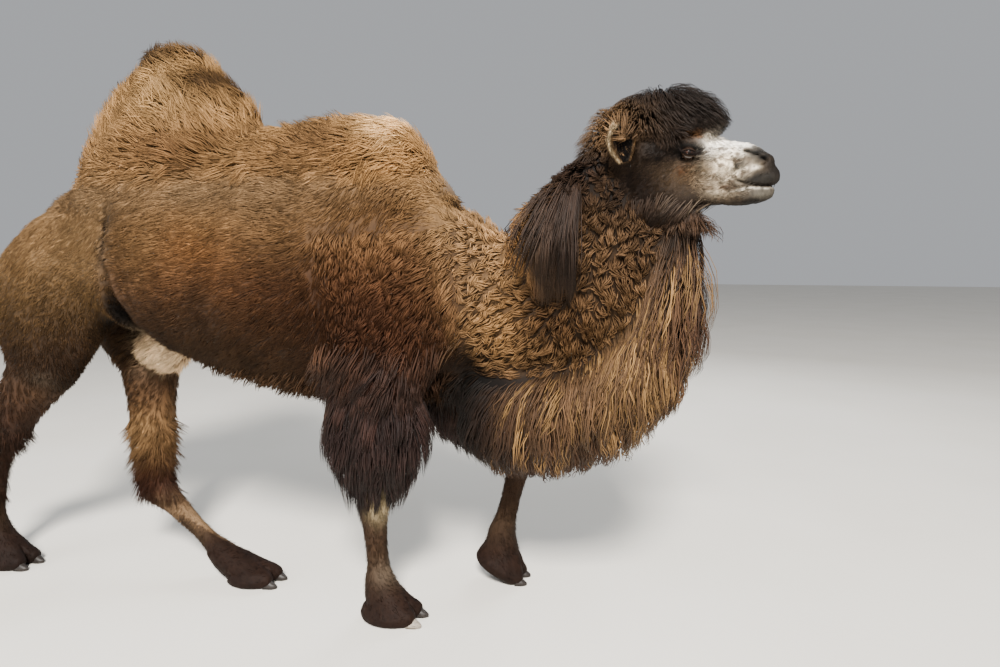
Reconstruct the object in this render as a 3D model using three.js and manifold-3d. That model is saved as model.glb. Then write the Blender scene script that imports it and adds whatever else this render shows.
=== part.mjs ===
// A still, life-size Bactrian camel in mid stride, for a museum floor.
// Millimetres, +X towards the nose, +Y the animal's left, +Z up. The body is worked out about
// a point on the floor under the right elbow, on the midline, and then set with the middle of
// its base at the origin. Flesh is made whole and parted with thin cuts; hair is laid over it.
import * as THREE from "three";
import { mergeVertices } from "three/addons/utils/BufferGeometryUtils.js";
import Module from "manifold-3d";

const wasm = await Module();
wasm.setup();
const { Manifold, Mesh } = wasm;

// ---- driving dimensions ----
const GAP = 0.5; // clearance left between neighbouring pieces of flesh
const HAIR_GAP = 3; // clearance left under a mass of long hair
const HUMP_TOP = 2150; // tip of the rear hump's coat above the floor
const SADDLE = 1815; // back between the humps
const CROUP = 1610; // top of the rump behind the rear hump
const BRISKET = 780; // underside of the chest
const FLANK = 1130; // underside of the body just ahead of the thighs
const HIP = { x: -1390, y: 165, z: 1290 };
const SHOULDER = { x: 140, y: 185, z: 1240 };
const HEAD = { x: 1015, y: -100, z: 1634 }; // midway between the eyes
const EYE = { out: 71, radius: 21 };
const PAD = { long: 118, wide: 92, cleft: 0.22 }; // a foot's half sizes, and the gap between its toes
const RIGHT = -1;
const LEFT = 1;
const SIDES = { right: RIGHT, left: LEFT };

const COLOUR = {
  sandy: 0xa9794a,
  russet: 0x7c4d2b,
  brown: 0x4c3021,
  dark: 0x2f211b,
  pale: 0xcbbfab,
  horn: 0x3a332e,
  eye: 0x1a1210,
};

// ---- shape tools ----
const vec = (x, y, z) => new THREE.Vector3(x, y, z);
const FORWARD = vec(1, 0, 0);
const UPWARD = vec(0, 0, 1);

// A closed skin over rows of points, each row a ring, with a tip point at either end.
function closedSkin(rows, startTip, endTip) {
  const sides = rows[0].length;
  const last = (rows.length - 1) * sides;
  const points = [...rows.flat(), startTip, endTip];
  const [start, end] = [points.length - 2, points.length - 1];
  const faces = [];
  for (let i = 0; i < sides; i++) {
    const j = (i + 1) % sides;
    faces.push(start, j, i, end, last + i, last + j);
    for (let row = 0; row < last; row += sides)
      faces.push(row + i, row + j, row + sides + j, row + i, row + sides + j, row + sides + i);
  }
  const geometry = new THREE.BufferGeometry().setFromPoints(points);
  return geometry.setIndex(faces);
}

// A closed three.js geometry as a solid facing out.
function solid(geometry) {
  const bare = geometry.clone();
  bare.deleteAttribute("normal");
  bare.deleteAttribute("uv");
  const merged = mergeVertices(bare, 1e-3);
  const vertProperties = merged.attributes.position.array;
  const triVerts = new Uint32Array(merged.index.array);
  const made = new Manifold(new Mesh({ numProp: 3, vertProperties, triVerts }));
  if (made.volume() > 0) return made;
  for (let i = 0; i < triVerts.length; i += 3)
    [triVerts[i + 1], triVerts[i + 2]] = [triVerts[i + 2], triVerts[i + 1]];
  return new Manifold(new Mesh({ numProp: 3, vertProperties, triVerts }));
}

// A closed tube of egg-shaped rings. A ring has a middle (x, y, z), a half width, and how far it
// reaches up and down from its middle. Rings stand square to the line through their middles, or
// to the axis given, and up is the back on a body, the nape on a neck and the front on a leg.
// cleft is how deep a notch the middle of a ring's upper edge has, as a share of its reach.
function tube(rings, { sides = 14, cap = 0.4, axis = null, grow = 0 } = {}) {
  const middles = new THREE.CatmullRomCurve3(rings.map((r) => vec(r.x, r.y ?? 0, r.z)));
  const last = rings.length - 1;
  const alongAt = (i) => axis ?? rings[i].axis ?? middles.getTangent(i / last);
  const ringAt = (i, scale = 1, push = 0) => {
    const { wide, up: upReach, down: downReach, cleft = 0 } = rings[i];
    const along = alongAt(i);
    const side = vec(0, 1, 0).addScaledVector(along, -along.y).normalize();
    const up = along.clone().cross(side).normalize();
    const middle = middles.getPoint(i / last).addScaledVector(along, push);
    return Array.from({ length: sides }, (_, k) => {
      const angle = (k / sides) * Math.PI * 2;
      const [c, s] = [Math.cos(angle), Math.sin(angle)];
      const notch = 1 - (s > 0.99 ? cleft : 0);
      const reach = (s > 0 ? upReach : downReach) * notch;
      return middle
        .clone()
        .addScaledVector(side, c * (wide * scale + grow))
        .addScaledVector(up, s * (reach * scale + grow));
    });
  };
  const capOf = (ring) => cap * Math.min(ring.wide, (ring.up + ring.down) / 2) + grow;
  const [startCap, endCap] = [capOf(rings[0]), capOf(rings[last])];
  const [DOME_WIDTH, DOME_RISE] = [0.66, 0.75];
  const rows = rings.map((_, i) => ringAt(i));
  rows.unshift(ringAt(0, DOME_WIDTH, -DOME_RISE * startCap));
  rows.push(ringAt(last, DOME_WIDTH, DOME_RISE * endCap));
  const tip = (i, push) => middles.getPoint(i / last).addScaledVector(alongAt(i), push);
  return solid(closedSkin(rows, tip(0, -startCap), tip(last, endCap)));
}

// An ellipsoid, turned by pitch (nose down) and yaw (towards the left), both in degrees.
function ball({ x, y, z, rx, ry, rz, pitch = 0, yaw = 0, detail = 12, grow = 0 }) {
  const geometry = new THREE.SphereGeometry(1, detail, Math.round(detail * 0.6));
  geometry.scale(rx + grow, ry + grow, rz + grow);
  geometry.rotateY(THREE.MathUtils.degToRad(pitch));
  geometry.rotateZ(THREE.MathUtils.degToRad(yaw));
  geometry.translate(x, y, z);
  return solid(geometry);
}

const join = (...solids) => solids.reduce((all, one) => all.add(one));

// All that lies ahead of a flat face through a point, as a block big enough for the whole animal.
function ahead(point, facing) {
  const size = 6000;
  const geometry = new THREE.BoxGeometry(size, size, size).translate(0, 0, size / 2);
  geometry.applyQuaternion(new THREE.Quaternion().setFromUnitVectors(UPWARD, facing));
  return solid(geometry.translate(point.x, point.y, point.z));
}

// A solid parted by a thin flat cut: what lies ahead of it, and what lies behind.
function part(made, point, facing) {
  const behind = point.clone().addScaledVector(facing, -GAP);
  return [made.intersect(ahead(point, facing)), made.subtract(ahead(behind, facing))];
}

// A solid parted by a block: what lies inside it, and what lies outside.
function partByBlock(made, { low, high }) {
  const block = (grow) => {
    const size = high.clone().sub(low).addScalar(2 * grow);
    const middle = high.clone().add(low).multiplyScalar(0.5);
    const geometry = new THREE.BoxGeometry(size.x, size.y, size.z);
    return solid(geometry.translate(middle.x, middle.y, middle.z));
  };
  return [made.intersect(block(0)), made.subtract(block(GAP))];
}

// The largest body of a solid, so that slivers left by a cut are dropped.
const largest = (made) => made.decompose().reduce((best, b) => (b.volume() > best.volume() ? b : best));

// ---- trunk, humps and tail ----
const trunkRings = [
  { x: -1650, z: 1260, wide: 115, up: 130, down: 170 },
  { x: -1570, z: 1250, wide: 190, up: 225, down: 240 },
  { x: -1420, z: 1240, wide: 250, up: CROUP - 1240, down: 230 },
  { x: -1200, z: 1225, wide: 285, up: 470, down: 1225 - FLANK + 60 },
  { x: -960, z: 1210, wide: 358, up: 540, down: 240 },
  { x: -740, z: 1190, wide: 398, up: 580, down: 304 },
  { x: -500, z: 1165, wide: 405, up: SADDLE - 1165, down: 336 },
  { x: -220, z: 1160, wide: 380, up: SADDLE - 1180, down: 1160 - BRISKET },
  { x: 50, z: 1175, wide: 330, up: 520, down: 1175 - BRISKET },
  { x: 230, z: 1185, wide: 250, up: 400, down: 350 },
  { x: 330, z: 1180, wide: 170, up: 260, down: 240 },
];
const trunk = (grow = 0) => tube(trunkRings, { sides: 14, axis: FORWARD, grow });

// A hump is a stack of level ellipses; along is its half length fore and aft.
const rearHumpRings = [
  { x: -915, z: 1500, along: 540, wide: 315 },
  { x: -910, z: 1640, along: 475, wide: 280 },
  { x: -905, z: 1770, along: 410, wide: 235 },
  { x: -905, z: 1880, along: 340, wide: 195 },
  { x: -900, z: 2000, along: 242, wide: 145 },
  { x: -890, z: HUMP_TOP - 50, along: 142, wide: 95 },
];
const frontHumpRings = [
  { x: -180, z: 1480, along: 470, wide: 320 },
  { x: -190, z: 1620, along: 400, wide: 275 },
  { x: -195, y: 10, z: 1720, along: 335, wide: 215 },
  { x: -180, y: 25, z: SADDLE - 15, along: 255, wide: 130 },
];
const hump =
  (rings) =>
  (grow = 0) =>
    tube(
      rings.map((r) => ({ ...r, up: r.along, down: r.along })),
      { sides: 12, axis: UPWARD, grow },
    );
const rearHump = hump(rearHumpRings);
const frontHump = hump(frontHumpRings);

const tailRings = [
  { x: -1600, z: 1440, wide: 60, up: 60, down: 60 },
  { x: -1700, z: 1400, wide: 46, up: 44, down: 44 },
  { x: -1755, z: 1280, wide: 38, up: 36, down: 36 },
  { x: -1770, z: 1120, wide: 33, up: 31, down: 31 },
  { x: -1765, z: 1010, wide: 28, up: 26, down: 26 },
];
const tail = (grow = 0) => tube(tailRings, { sides: 6, grow });
const tailTuftRings = [
  { x: -1768, z: 1070, wide: 44, up: 42, down: 42 },
  { x: -1764, z: 960, wide: 60, up: 58, down: 56 },
  { x: -1755, z: 850, wide: 48, up: 50, down: 46 },
  { x: -1745, z: 760, wide: 20, up: 22, down: 20 },
];
const tailTuft = (grow = 0) => tube(tailTuftRings, { sides: 6, grow });
const sheath = (grow = 0) =>
  ball({ x: -1050, y: 0, z: 945, rx: 150, ry: 70, rz: 100, pitch: 20, detail: 9, grow });

// ---- neck and the long hair on it ----
const neckRings = [
  { x: 150, y: 0, z: 1220, wide: 245, up: 395, down: 300 },
  { x: 320, y: -5, z: 1170, wide: 220, up: 330, down: 285 },
  { x: 470, y: -15, z: 1125, wide: 195, up: 235, down: 250 },
  { x: 610, y: -30, z: 1155, wide: 172, up: 190, down: 225 },
  { x: 725, y: -50, z: 1262, wide: 155, up: 175, down: 205 },
  { x: 795, y: -70, z: 1400, wide: 140, up: 160, down: 175 },
  { x: 830, y: -85, z: 1540, wide: 125, up: 140, down: 150 },
];
const neck = (grow = 0) => tube(neckRings, { sides: 12, grow });

const throatRings = [
  { x: 265, y: 0, z: 880, wide: 145, up: 60, down: 225 },
  { x: 390, y: -5, z: 880, wide: 185, up: 80, down: 350 },
  { x: 560, y: -20, z: 870, wide: 205, up: 90, down: 350 },
  { x: 720, y: -40, z: 910, wide: 205, up: 90, down: 305 },
  { x: 845, y: -60, z: 1010, wide: 190, up: 90, down: 240 },
  { x: 920, y: -75, z: 1150, wide: 170, up: 80, down: 190 },
  { x: 960, y: -85, z: 1290, wide: 148, up: 90, down: 158 },
  { x: 1005, y: -92, z: 1395, wide: 112, up: 110, down: 130 },
  { x: 1072, y: -96, z: 1470, wide: 66, up: 66, down: 84 },
];
const throatMane = (grow = 0) => tube(throatRings, { sides: 10, grow });

const napeRings = [
  { x: 500, y: -15, z: 1330, wide: 205, up: 130, down: 110 },
  { x: 580, y: -35, z: 1400, wide: 205, up: 155, down: 200 },
  { x: 660, y: -60, z: 1510, wide: 180, up: 130, down: 220 },
  { x: 740, y: -80, z: 1620, wide: 145, up: 100, down: 160 },
];
const napeMane = (grow = 0) => tube(napeRings, { sides: 8, grow });

// ---- head ----
// Built about the point midway between the eyes, from rounded forms that run into each other.
// out is how far a paired form stands from the midline.
const BLEND = 13;
const headForms = [
  { name: "cranium", x: -130, z: 5, long: 118, wide: 88, high: 82 },
  { name: "cheek", out: 34, x: -85, z: -85, long: 112, wide: 62, high: 98 },
  { name: "face", x: 50, z: -20, long: 110, wide: 64, high: 68 },
  { name: "brow", out: 52, x: -4, z: 26, long: 52, wide: 36, high: 34 },
  { name: "bridge", x: 130, z: -12, long: 88, wide: 40, high: 50 },
  { name: "muzzle", x: 184, z: -56, long: 62, wide: 52, high: 44 },
  { name: "nostril", out: 20, x: 194, z: -28, long: 40, wide: 26, high: 28 },
  { name: "upper lip", out: 14, x: 220, z: -66, long: 34, wide: 32, high: 28 },
  { name: "lower lip", x: 180, z: -122, long: 52, wide: 36, high: 26 },
  { name: "jaw", x: 70, z: -112, long: 128, wide: 42, high: 40 },
];
function headDistance(p) {
  let sum = 0;
  for (const { out = 0, x, z, long, wide, high } of headForms)
    for (const side of out ? [RIGHT, LEFT] : [0]) {
      const near = vec((p.x - x) / long, (p.y - side * out) / wide, (p.z - z) / high).length();
      sum += Math.exp(((1 - near) * Math.min(long, wide, high)) / BLEND);
    }
  return -BLEND * Math.log(sum);
}
// How far the head's surface is from a point inside it, along a direction.
function headReach(from, direction, grow) {
  let [inside, outside] = [0, 400];
  for (let i = 0; i < 24; i++) {
    const reach = (inside + outside) / 2;
    const out = headDistance(from.clone().addScaledVector(direction, reach)) > grow;
    [inside, outside] = out ? [inside, reach] : [reach, outside];
  }
  return inside;
}
const headSpine = new THREE.CatmullRomCurve3([
  vec(-225, 0, -30),
  vec(-190, 0, -35),
  vec(-140, 0, -40),
  vec(-90, 0, -45),
  vec(-40, 0, -45),
  vec(10, 0, -45),
  vec(60, 0, -50),
  vec(110, 0, -58),
  vec(160, 0, -66),
  vec(205, 0, -72),
  vec(240, 0, -72),
]);
function skull(grow = 0) {
  const [sides, count] = [16, 12];
  const point = (from, direction) =>
    from.clone().addScaledVector(direction, headReach(from, direction, grow));
  const rows = Array.from({ length: count + 1 }, (_, i) =>
    Array.from({ length: sides }, (_, k) => {
      const angle = (k / sides) * Math.PI * 2;
      return point(headSpine.getPoint(i / count), vec(0, Math.cos(angle), Math.sin(angle)));
    }),
  );
  const tips = [point(headSpine.getPoint(0), vec(-1, 0, 0)), point(headSpine.getPoint(1), FORWARD)];
  return solid(closedSkin(rows, ...tips)).translate([HEAD.x, HEAD.y, HEAD.z]);
}
const onHead = (made) => made.translate([HEAD.x, HEAD.y, HEAD.z]);
const eyeball =
  (side) =>
  (grow = 0) => {
    const size = { rx: EYE.radius, ry: EYE.radius, rz: EYE.radius };
    return onHead(ball({ x: 0, y: side * EYE.out, z: 0, ...size, detail: 10, grow }));
  };
const ear =
  (side) =>
  (grow = 0) => {
    const shell = { x: -212, y: side * 112, z: 44, rx: 30, ry: 42, rz: 62, yaw: side * 35, grow };
    return onHead(ball({ ...shell, pitch: -15, detail: 8 }));
  };
const EAR_HOLLOW = { x: -186, y: 132, z: 40, rx: 18, ry: 26, rz: 40 };
const earHollow = (side) =>
  onHead(ball({ ...EAR_HOLLOW, y: side * EAR_HOLLOW.y, yaw: side * 35, pitch: -15, detail: 6 }));
const topknotRings = [
  { x: -285, z: 60, wide: 76, up: 60, down: 70 },
  { x: -215, z: 72, wide: 114, up: 106, down: 70 },
  { x: -135, z: 80, wide: 130, up: 136, down: 52 },
  { x: -55, z: 84, wide: 130, up: 148, down: 45 },
  { x: 12, z: 84, wide: 114, up: 127, down: 40 },
  { x: 70, z: 76, wide: 82, up: 90, down: 32 },
];
const topknot = (grow = 0) =>
  onHead(tube(topknotRings, { sides: 8, cap: 0.6, axis: FORWARD, grow }));

// ---- legs ----
// Where each leg bends, from the body down; y is how far out from the midline, to the leg's side.
const legs = {
  front_right: {
    side: RIGHT,
    top: SHOULDER,
    bend: { x: 0, y: 190, z: 900 },
    knee: { x: -45, y: 165, z: 425 },
    fetlock: { x: -30, y: 150, z: 145 },
    foot: { x: 2, y: 148, z: 0, pitch: 0 },
  },
  front_left: {
    side: LEFT,
    top: SHOULDER,
    bend: { x: 100, y: 200, z: 900 },
    knee: { x: 420, y: 235, z: 560 },
    fetlock: { x: 335, y: 252, z: 205 },
    foot: { x: 308, y: 255, z: 47, pitch: 27 },
  },
  hind_right: {
    side: RIGHT,
    top: HIP,
    bend: { x: -1448, y: 205, z: 865 },
    knee: { x: -1772, y: 170, z: 515 },
    fetlock: { x: -1830, y: 150, z: 150 },
    foot: { x: -1772, y: 150, z: 0, pitch: 0 },
  },
  hind_left: {
    side: LEFT,
    top: HIP,
    bend: { x: -1240, y: 150, z: 850 },
    knee: { x: -1172, y: 65, z: 325 },
    fetlock: { x: -792, y: -12, z: 90 },
    foot: { x: -662, y: -25, z: 0, pitch: 0 },
  },
};
const joint = (leg, { x, y, z }) => vec(x, leg.side * y, z);
// A ring a share of the way from one joint of a leg to the next.
const ring = (leg, from, to, share, wide, up, down) => {
  const { x, y, z } = joint(leg, leg[from]).lerp(joint(leg, leg[to]), share);
  return { x, y, z, wide, up, down };
};

// A leg's rings, from the body down to the fetlock.
const foreRings = (leg) => [
  ring(leg, "top", "bend", -0.35, 60, 120, 130),
  ring(leg, "top", "bend", 0, 95, 160, 190),
  ring(leg, "top", "bend", 0.6, 98, 150, 175),
  ring(leg, "bend", "knee", 0, 88, 115, 120),
  ring(leg, "bend", "knee", 0.45, 66, 76, 84),
  ring(leg, "bend", "knee", 0.8, 60, 68, 68),
  ring(leg, "knee", "fetlock", 0, 64, 76, 66),
  ring(leg, "knee", "fetlock", 0.2, 48, 54, 52),
  ring(leg, "knee", "fetlock", 0.55, 42, 46, 46),
  ring(leg, "knee", "fetlock", 0.92, 45, 49, 50),
];
const hindRings = (leg) => [
  ring(leg, "top", "bend", -0.4, 90, 150, 110),
  ring(leg, "top", "bend", 0, 150, 285, 245),
  ring(leg, "top", "bend", 0.35, 162, 295, 262),
  ring(leg, "top", "bend", 0.7, 142, 240, 222),
  ring(leg, "bend", "knee", 0, 110, 148, 165),
  ring(leg, "bend", "knee", 0.3, 92, 104, 138),
  ring(leg, "bend", "knee", 0.7, 76, 94, 128),
  ring(leg, "knee", "fetlock", 0, 60, 84, 120),
  ring(leg, "knee", "fetlock", 0.24, 46, 54, 60),
  ring(leg, "knee", "fetlock", 0.6, 38, 42, 44),
  ring(leg, "knee", "fetlock", 0.92, 42, 45, 47),
];
const limb =
  (leg) =>
  (grow = 0) =>
    tube(leg.top === HIP ? hindRings(leg) : foreRings(leg), { sides: 10, grow });

// The foot: a broad cushion under two toes, with a nail on each, about the middle of its sole.
const footFrame = (leg) =>
  new THREE.Matrix4()
    .makeTranslation(joint(leg, leg.foot))
    .multiply(new THREE.Matrix4().makeRotationY(THREE.MathUtils.degToRad(leg.foot.pitch)));
const onFoot = (leg, made) => made.transform(footFrame(leg).elements);
const nail = (side, grow = 0) =>
  ball({ x: 116, y: side * 38, z: 22, rx: 27, ry: 22, rz: 23, detail: 6, grow });
function foot(leg) {
  const shank = joint(leg, leg.knee).lerp(joint(leg, leg.fetlock), 0.86);
  const inFoot = footFrame(leg).invert();
  const [start, ankle] = [shank, joint(leg, leg.fetlock)].map((p) => p.applyMatrix4(inFoot));
  const { long, wide, cleft } = PAD;
  const level = { y: 0, axis: vec(0, 0, -1) };
  const rings = [
    { ...start, wide: 48, up: 50, down: 54 },
    { ...ankle, wide: 57, up: 58, down: 66 },
    { x: ankle.x * 0.45, y: ankle.y * 0.5, z: ankle.z * 0.6, wide: 67, up: 72, down: 80 },
    { ...level, x: 6, z: 58, wide: wide * 0.86, up: long * 0.86, down: long * 0.88, cleft: cleft / 2 },
    { ...level, x: 8, z: 30, wide, up: long, down: long, cleft },
    { ...level, x: 8, z: -2, wide: wide * 0.95, up: long * 0.96, down: long * 0.95, cleft },
  ];
  return onFoot(leg, tube(rings, { sides: 16, cap: 0.1 }));
}
const aboveFloor = (made) => made.intersect(ahead(vec(0, 0, 0), UPWARD));

// Long hair round the elbow and forearm.
const muffRings = (leg) => [
  ring(leg, "bend", "knee", -0.1, 115, 165, 175),
  ring(leg, "bend", "knee", 0.2, 145, 235, 240),
  ring(leg, "bend", "knee", 0.5, 140, 215, 222),
  ring(leg, "bend", "knee", 0.88, 95, 120, 118),
];

// ---- the pieces ----
const pieces = [];
const piece = (name, made, colour) => pieces.push({ name, made: largest(made), colour });
const cutBy = (gap) => (made, ...others) => others.reduce((left, other) => left.subtract(other(gap)), made);
const less = cutBy(GAP);
const lessUnderHair = cutBy(HAIR_GAP);

const eyes = [eyeball(RIGHT), eyeball(LEFT)];
const ears = [ear(RIGHT), ear(LEFT)];
Object.entries(SIDES).forEach(([word, side], i) => {
  piece(`eye_${word}`, eyes[i](), COLOUR.eye);
  piece(`ear_${word}`, less(ears[i]().subtract(earHollow(side)), skull), COLOUR.russet);
});
const MOUTH = { back: vec(HEAD.x - 60, 0, HEAD.z - 98), facing: vec(-0.03, 0, -1).normalize() };
const [underMouth, upperHead] = part(less(skull(), ...eyes), MOUTH.back, MOUTH.facing);
const [lowerJaw, throatLatch] = part(underMouth, MOUTH.back, FORWARD);
piece("head", upperHead, COLOUR.pale);
piece("lower_jaw", lowerJaw, COLOUR.pale);
piece("cheeks", throatLatch, COLOUR.brown);

// Each leg is made whole and parted at its joints; what is above the highest cut joins the body.
let flesh = join(trunk(), rearHump(), frontHump());
for (const [name, leg] of Object.entries(legs)) {
  const whole = aboveFloor(join(limb(leg)(), foot(leg)));
  const nails = [leg.side, -leg.side].map((side) => (grow = 0) => onFoot(leg, nail(side, grow)));
  const cutAt = (made, from, to, share = 0) => {
    const [start, end] = [joint(leg, leg[from]), joint(leg, leg[to])];
    return part(made, start.clone().lerp(end, share), end.sub(start).normalize());
  };
  const [belowBend, aboveBend] = cutAt(whole, "bend", "knee");
  const [belowKnee, lowerLeg] = cutAt(belowBend, "knee", "fetlock");
  const [ankle, cannon] = cutAt(belowKnee, "knee", "fetlock", 0.76);
  piece(`foot_${name}`, less(ankle, ...nails), COLOUR.dark);
  piece(`nail_${name}_outer`, aboveFloor(nails[0]()), COLOUR.horn);
  piece(`nail_${name}_inner`, aboveFloor(nails[1]()), COLOUR.horn);
  piece(`cannon_${name}`, cannon, COLOUR.brown);
  piece(`${leg.top === HIP ? "gaskin" : "forearm"}_${name}`, less(lowerLeg, trunk, neck), COLOUR.brown);
  flesh = flesh.add(aboveBend);
}

// The neck is parted in two, and the body into haunches, shoulders, humps and trunk.
const NECK_BASE = { at: vec(300, 0, 1170), facing: vec(1, 0, 0.2).normalize() };
const NECK_MIDDLE = { at: vec(700, -45, 1225), facing: vec(0.6, -0.1, 1).normalize() };
const [wholeNeck, body] = part(less(flesh.add(neck()), skull), NECK_BASE.at, NECK_BASE.facing);
const [upperNeck, lowerNeck] = part(wholeNeck, NECK_MIDDLE.at, NECK_MIDDLE.facing);
piece("neck_upper", upperNeck, COLOUR.brown);
piece("neck_lower", lowerNeck, COLOUR.russet);
const HAUNCH = { back: -2100, front: -1010, inside: 70, low: 700, high: 1500 };
const UPPER_ARM = { back: -150, front: 320, inside: 170, low: 700, high: 1420 };
function sideBlock(side, { back, front, inside, low, high }) {
  const [near, far] = [side * inside, side * 900].sort((a, b) => a - b);
  return { low: vec(back, near, low), high: vec(front, far, high) };
}
let rest = body;
for (const [word, side] of Object.entries(SIDES)) {
  const [haunch, afterHaunch] = partByBlock(rest, sideBlock(side, HAUNCH));
  const [upperArm, afterArm] = partByBlock(afterHaunch, sideBlock(side, UPPER_ARM));
  piece(`thigh_hind_${word}`, haunch, COLOUR.russet);
  piece(`shoulder_front_${word}`, upperArm, COLOUR.russet);
  rest = afterArm;
}
const BACK_LINE = vec(0, 0, 1600);
const BETWEEN_HUMPS = vec(-480, 0, 0);
const [aboveBack, core] = part(rest, BACK_LINE, UPWARD);
const [front, rear] = part(aboveBack, BETWEEN_HUMPS, FORWARD);
piece("hump_front", front, COLOUR.sandy);
piece("hump_rear", rear, COLOUR.sandy);
piece("trunk", core, COLOUR.russet);

// Hair and what hangs from the body.
const foreLimbs = [limb(legs.front_right), limb(legs.front_left)];
const hindLimbs = [limb(legs.hind_right), limb(legs.hind_left)];
piece("tail", less(tail(), trunk, ...hindLimbs), COLOUR.russet);
piece("tail_tuft", less(tailTuft(), tail), COLOUR.dark);
piece("sheath", less(sheath(), trunk, ...hindLimbs), COLOUR.pale);
piece("topknot", lessUnderHair(topknot(), skull, neck, ...ears, ...eyes), COLOUR.dark);
piece("nape_mane", lessUnderHair(napeMane(), neck, trunk, frontHump, skull, topknot, ...ears), COLOUR.dark);
const throat = lessUnderHair(throatMane(), neck, trunk, skull, napeMane, ...foreLimbs);
piece("throat_mane", throat, COLOUR.sandy);
for (const name of ["front_right", "front_left"]) {
  const muff = tube(muffRings(legs[name]), { sides: 8 });
  piece(`muff_${name}`, lessUnderHair(muff, limb(legs[name]), trunk, neck, throatMane), COLOUR.dark);
}

const camel = new THREE.Group();
for (const { name, made, colour } of pieces) {
  const { vertProperties, triVerts } = made.getMesh();
  const geometry = new THREE.BufferGeometry();
  geometry.setAttribute("position", new THREE.BufferAttribute(vertProperties, 3));
  geometry.setIndex(new THREE.BufferAttribute(triVerts, 1));
  const material = new THREE.MeshStandardMaterial({ color: colour, roughness: 0.85, metalness: 0 });
  const mesh = new THREE.Mesh(geometry, material);
  mesh.name = name;
  camel.add(mesh);
}

// The middle of the base at the origin.
const box = new THREE.Box3().setFromObject(camel);
const middle = box.getCenter(vec(0, 0, 0));
camel.children.forEach((mesh) => mesh.geometry.translate(-middle.x, -middle.y, -box.min.z));

export default camel;
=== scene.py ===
import math
import bmesh
import bpy
import numpy as np
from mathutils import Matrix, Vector
from mathutils.bvhtree import BVHTree
from mathutils.kdtree import KDTree


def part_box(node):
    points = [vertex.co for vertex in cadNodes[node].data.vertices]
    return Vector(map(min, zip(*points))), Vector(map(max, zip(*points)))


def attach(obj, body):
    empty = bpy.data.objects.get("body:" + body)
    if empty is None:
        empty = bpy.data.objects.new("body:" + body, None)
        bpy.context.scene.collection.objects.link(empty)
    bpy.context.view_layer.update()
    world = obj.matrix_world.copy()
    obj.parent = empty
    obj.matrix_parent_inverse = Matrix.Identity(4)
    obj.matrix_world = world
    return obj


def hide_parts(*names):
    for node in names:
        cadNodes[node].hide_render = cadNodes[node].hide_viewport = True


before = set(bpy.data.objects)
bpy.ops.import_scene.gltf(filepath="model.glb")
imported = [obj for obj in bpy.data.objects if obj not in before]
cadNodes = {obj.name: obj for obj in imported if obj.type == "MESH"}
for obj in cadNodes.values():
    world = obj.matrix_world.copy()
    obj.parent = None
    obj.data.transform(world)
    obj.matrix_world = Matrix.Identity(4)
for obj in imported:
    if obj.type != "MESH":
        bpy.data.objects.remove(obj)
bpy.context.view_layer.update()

# A two-humped camel in its winter coat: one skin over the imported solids, with wool, hair,
# eyes, ears and nails laid on it. Metres; shapes of the head are given in millimetres.
mm = 0.001
upward = np.array([0.0, 0.0, 1.0])


def boxOf(name):
    return np.array(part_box(name))


def middleOf(name):
    return boxOf(name).mean(axis=0)


headAt = (middleOf("eye_right") + middleOf("eye_left")) / 2  # midway between the eyes
underElbow = headAt - np.array([1015, -100, 1634]) * mm  # on the floor under the right elbow, on the midline


def inBody(points):  # millimetres forward, left and up from the point under the elbow
    return (points - underElbow) / mm


def inHead(points):  # the same from the point between the eyes
    return (points - headAt) / mm


def hexToLinear(code):
    values = np.array([int(code[i:i + 2], 16) for i in (1, 3, 5)]) / 255
    return np.where(values <= 0.04045, values / 12.92, ((values + 0.055) / 1.055) ** 2.4)


def unit(v):
    return v / np.maximum(np.linalg.norm(v, axis=-1, keepdims=True), 1e-9)


def smoothStep(low, high, value):
    t = np.clip((value - low) / (high - low), 0, 1)
    return t * t * (3 - 2 * t)


def ripple(points, size, seed, waves=6):  # a slow random wave over space, about -1 to 1
    rng = np.random.default_rng(seed)
    ways = rng.normal(size=(waves, 3)) / size
    starts = rng.uniform(0, 2 * math.pi, waves)
    return np.sin(points @ ways.T * 2 + starts).sum(axis=1) * 0.73 / math.sqrt(waves)


def addObject(name, mesh, material=None, smooth=True):
    piece = bpy.data.objects.new(name, mesh)
    bpy.context.scene.collection.objects.link(piece)
    if material:
        mesh.materials.append(material)
    if smooth:
        mesh.polygons.foreach_set("use_smooth", [True] * len(mesh.polygons))
    return piece


def meshFrom(name, points, quads=None, triangles=None):
    quads = np.empty((0, 4), int) if quads is None else np.asarray(quads, int)
    triangles = np.empty((0, 3), int) if triangles is None else np.asarray(triangles, int)
    mesh = bpy.data.meshes.new(name)
    mesh.vertices.add(len(points))
    mesh.vertices.foreach_set("co", np.asarray(points, np.float32).ravel())
    loops = np.concatenate([quads.ravel(), triangles.ravel()]).astype(np.int32)
    mesh.loops.add(len(loops))
    mesh.loops.foreach_set("vertex_index", loops)
    starts = np.concatenate([np.arange(len(quads)) * 4, len(quads) * 4 + np.arange(len(triangles)) * 3])
    mesh.polygons.add(len(starts))
    mesh.polygons.foreach_set("loop_start", starts.astype(np.int32))
    mesh.update(calc_edges=True)
    return mesh


def ringQuads(rings, columns):  # the faces between closed rings of points, one ring after another
    return np.array([(r * columns + k, r * columns + (k + 1) % columns, (r + 1) * columns + (k + 1) % columns,
                      (r + 1) * columns + k) for r in range(rings - 1) for k in range(columns)])


def pointsOf(mesh):
    flat = np.empty(len(mesh.vertices) * 3, np.float32)
    mesh.vertices.foreach_get("co", flat)
    return flat.reshape(-1, 3).astype(float)


def normalsOf(mesh):
    flat = np.empty(len(mesh.vertices) * 3, np.float32)
    mesh.vertex_normals.foreach_get("vector", flat)
    return flat.reshape(-1, 3).astype(float)


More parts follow.
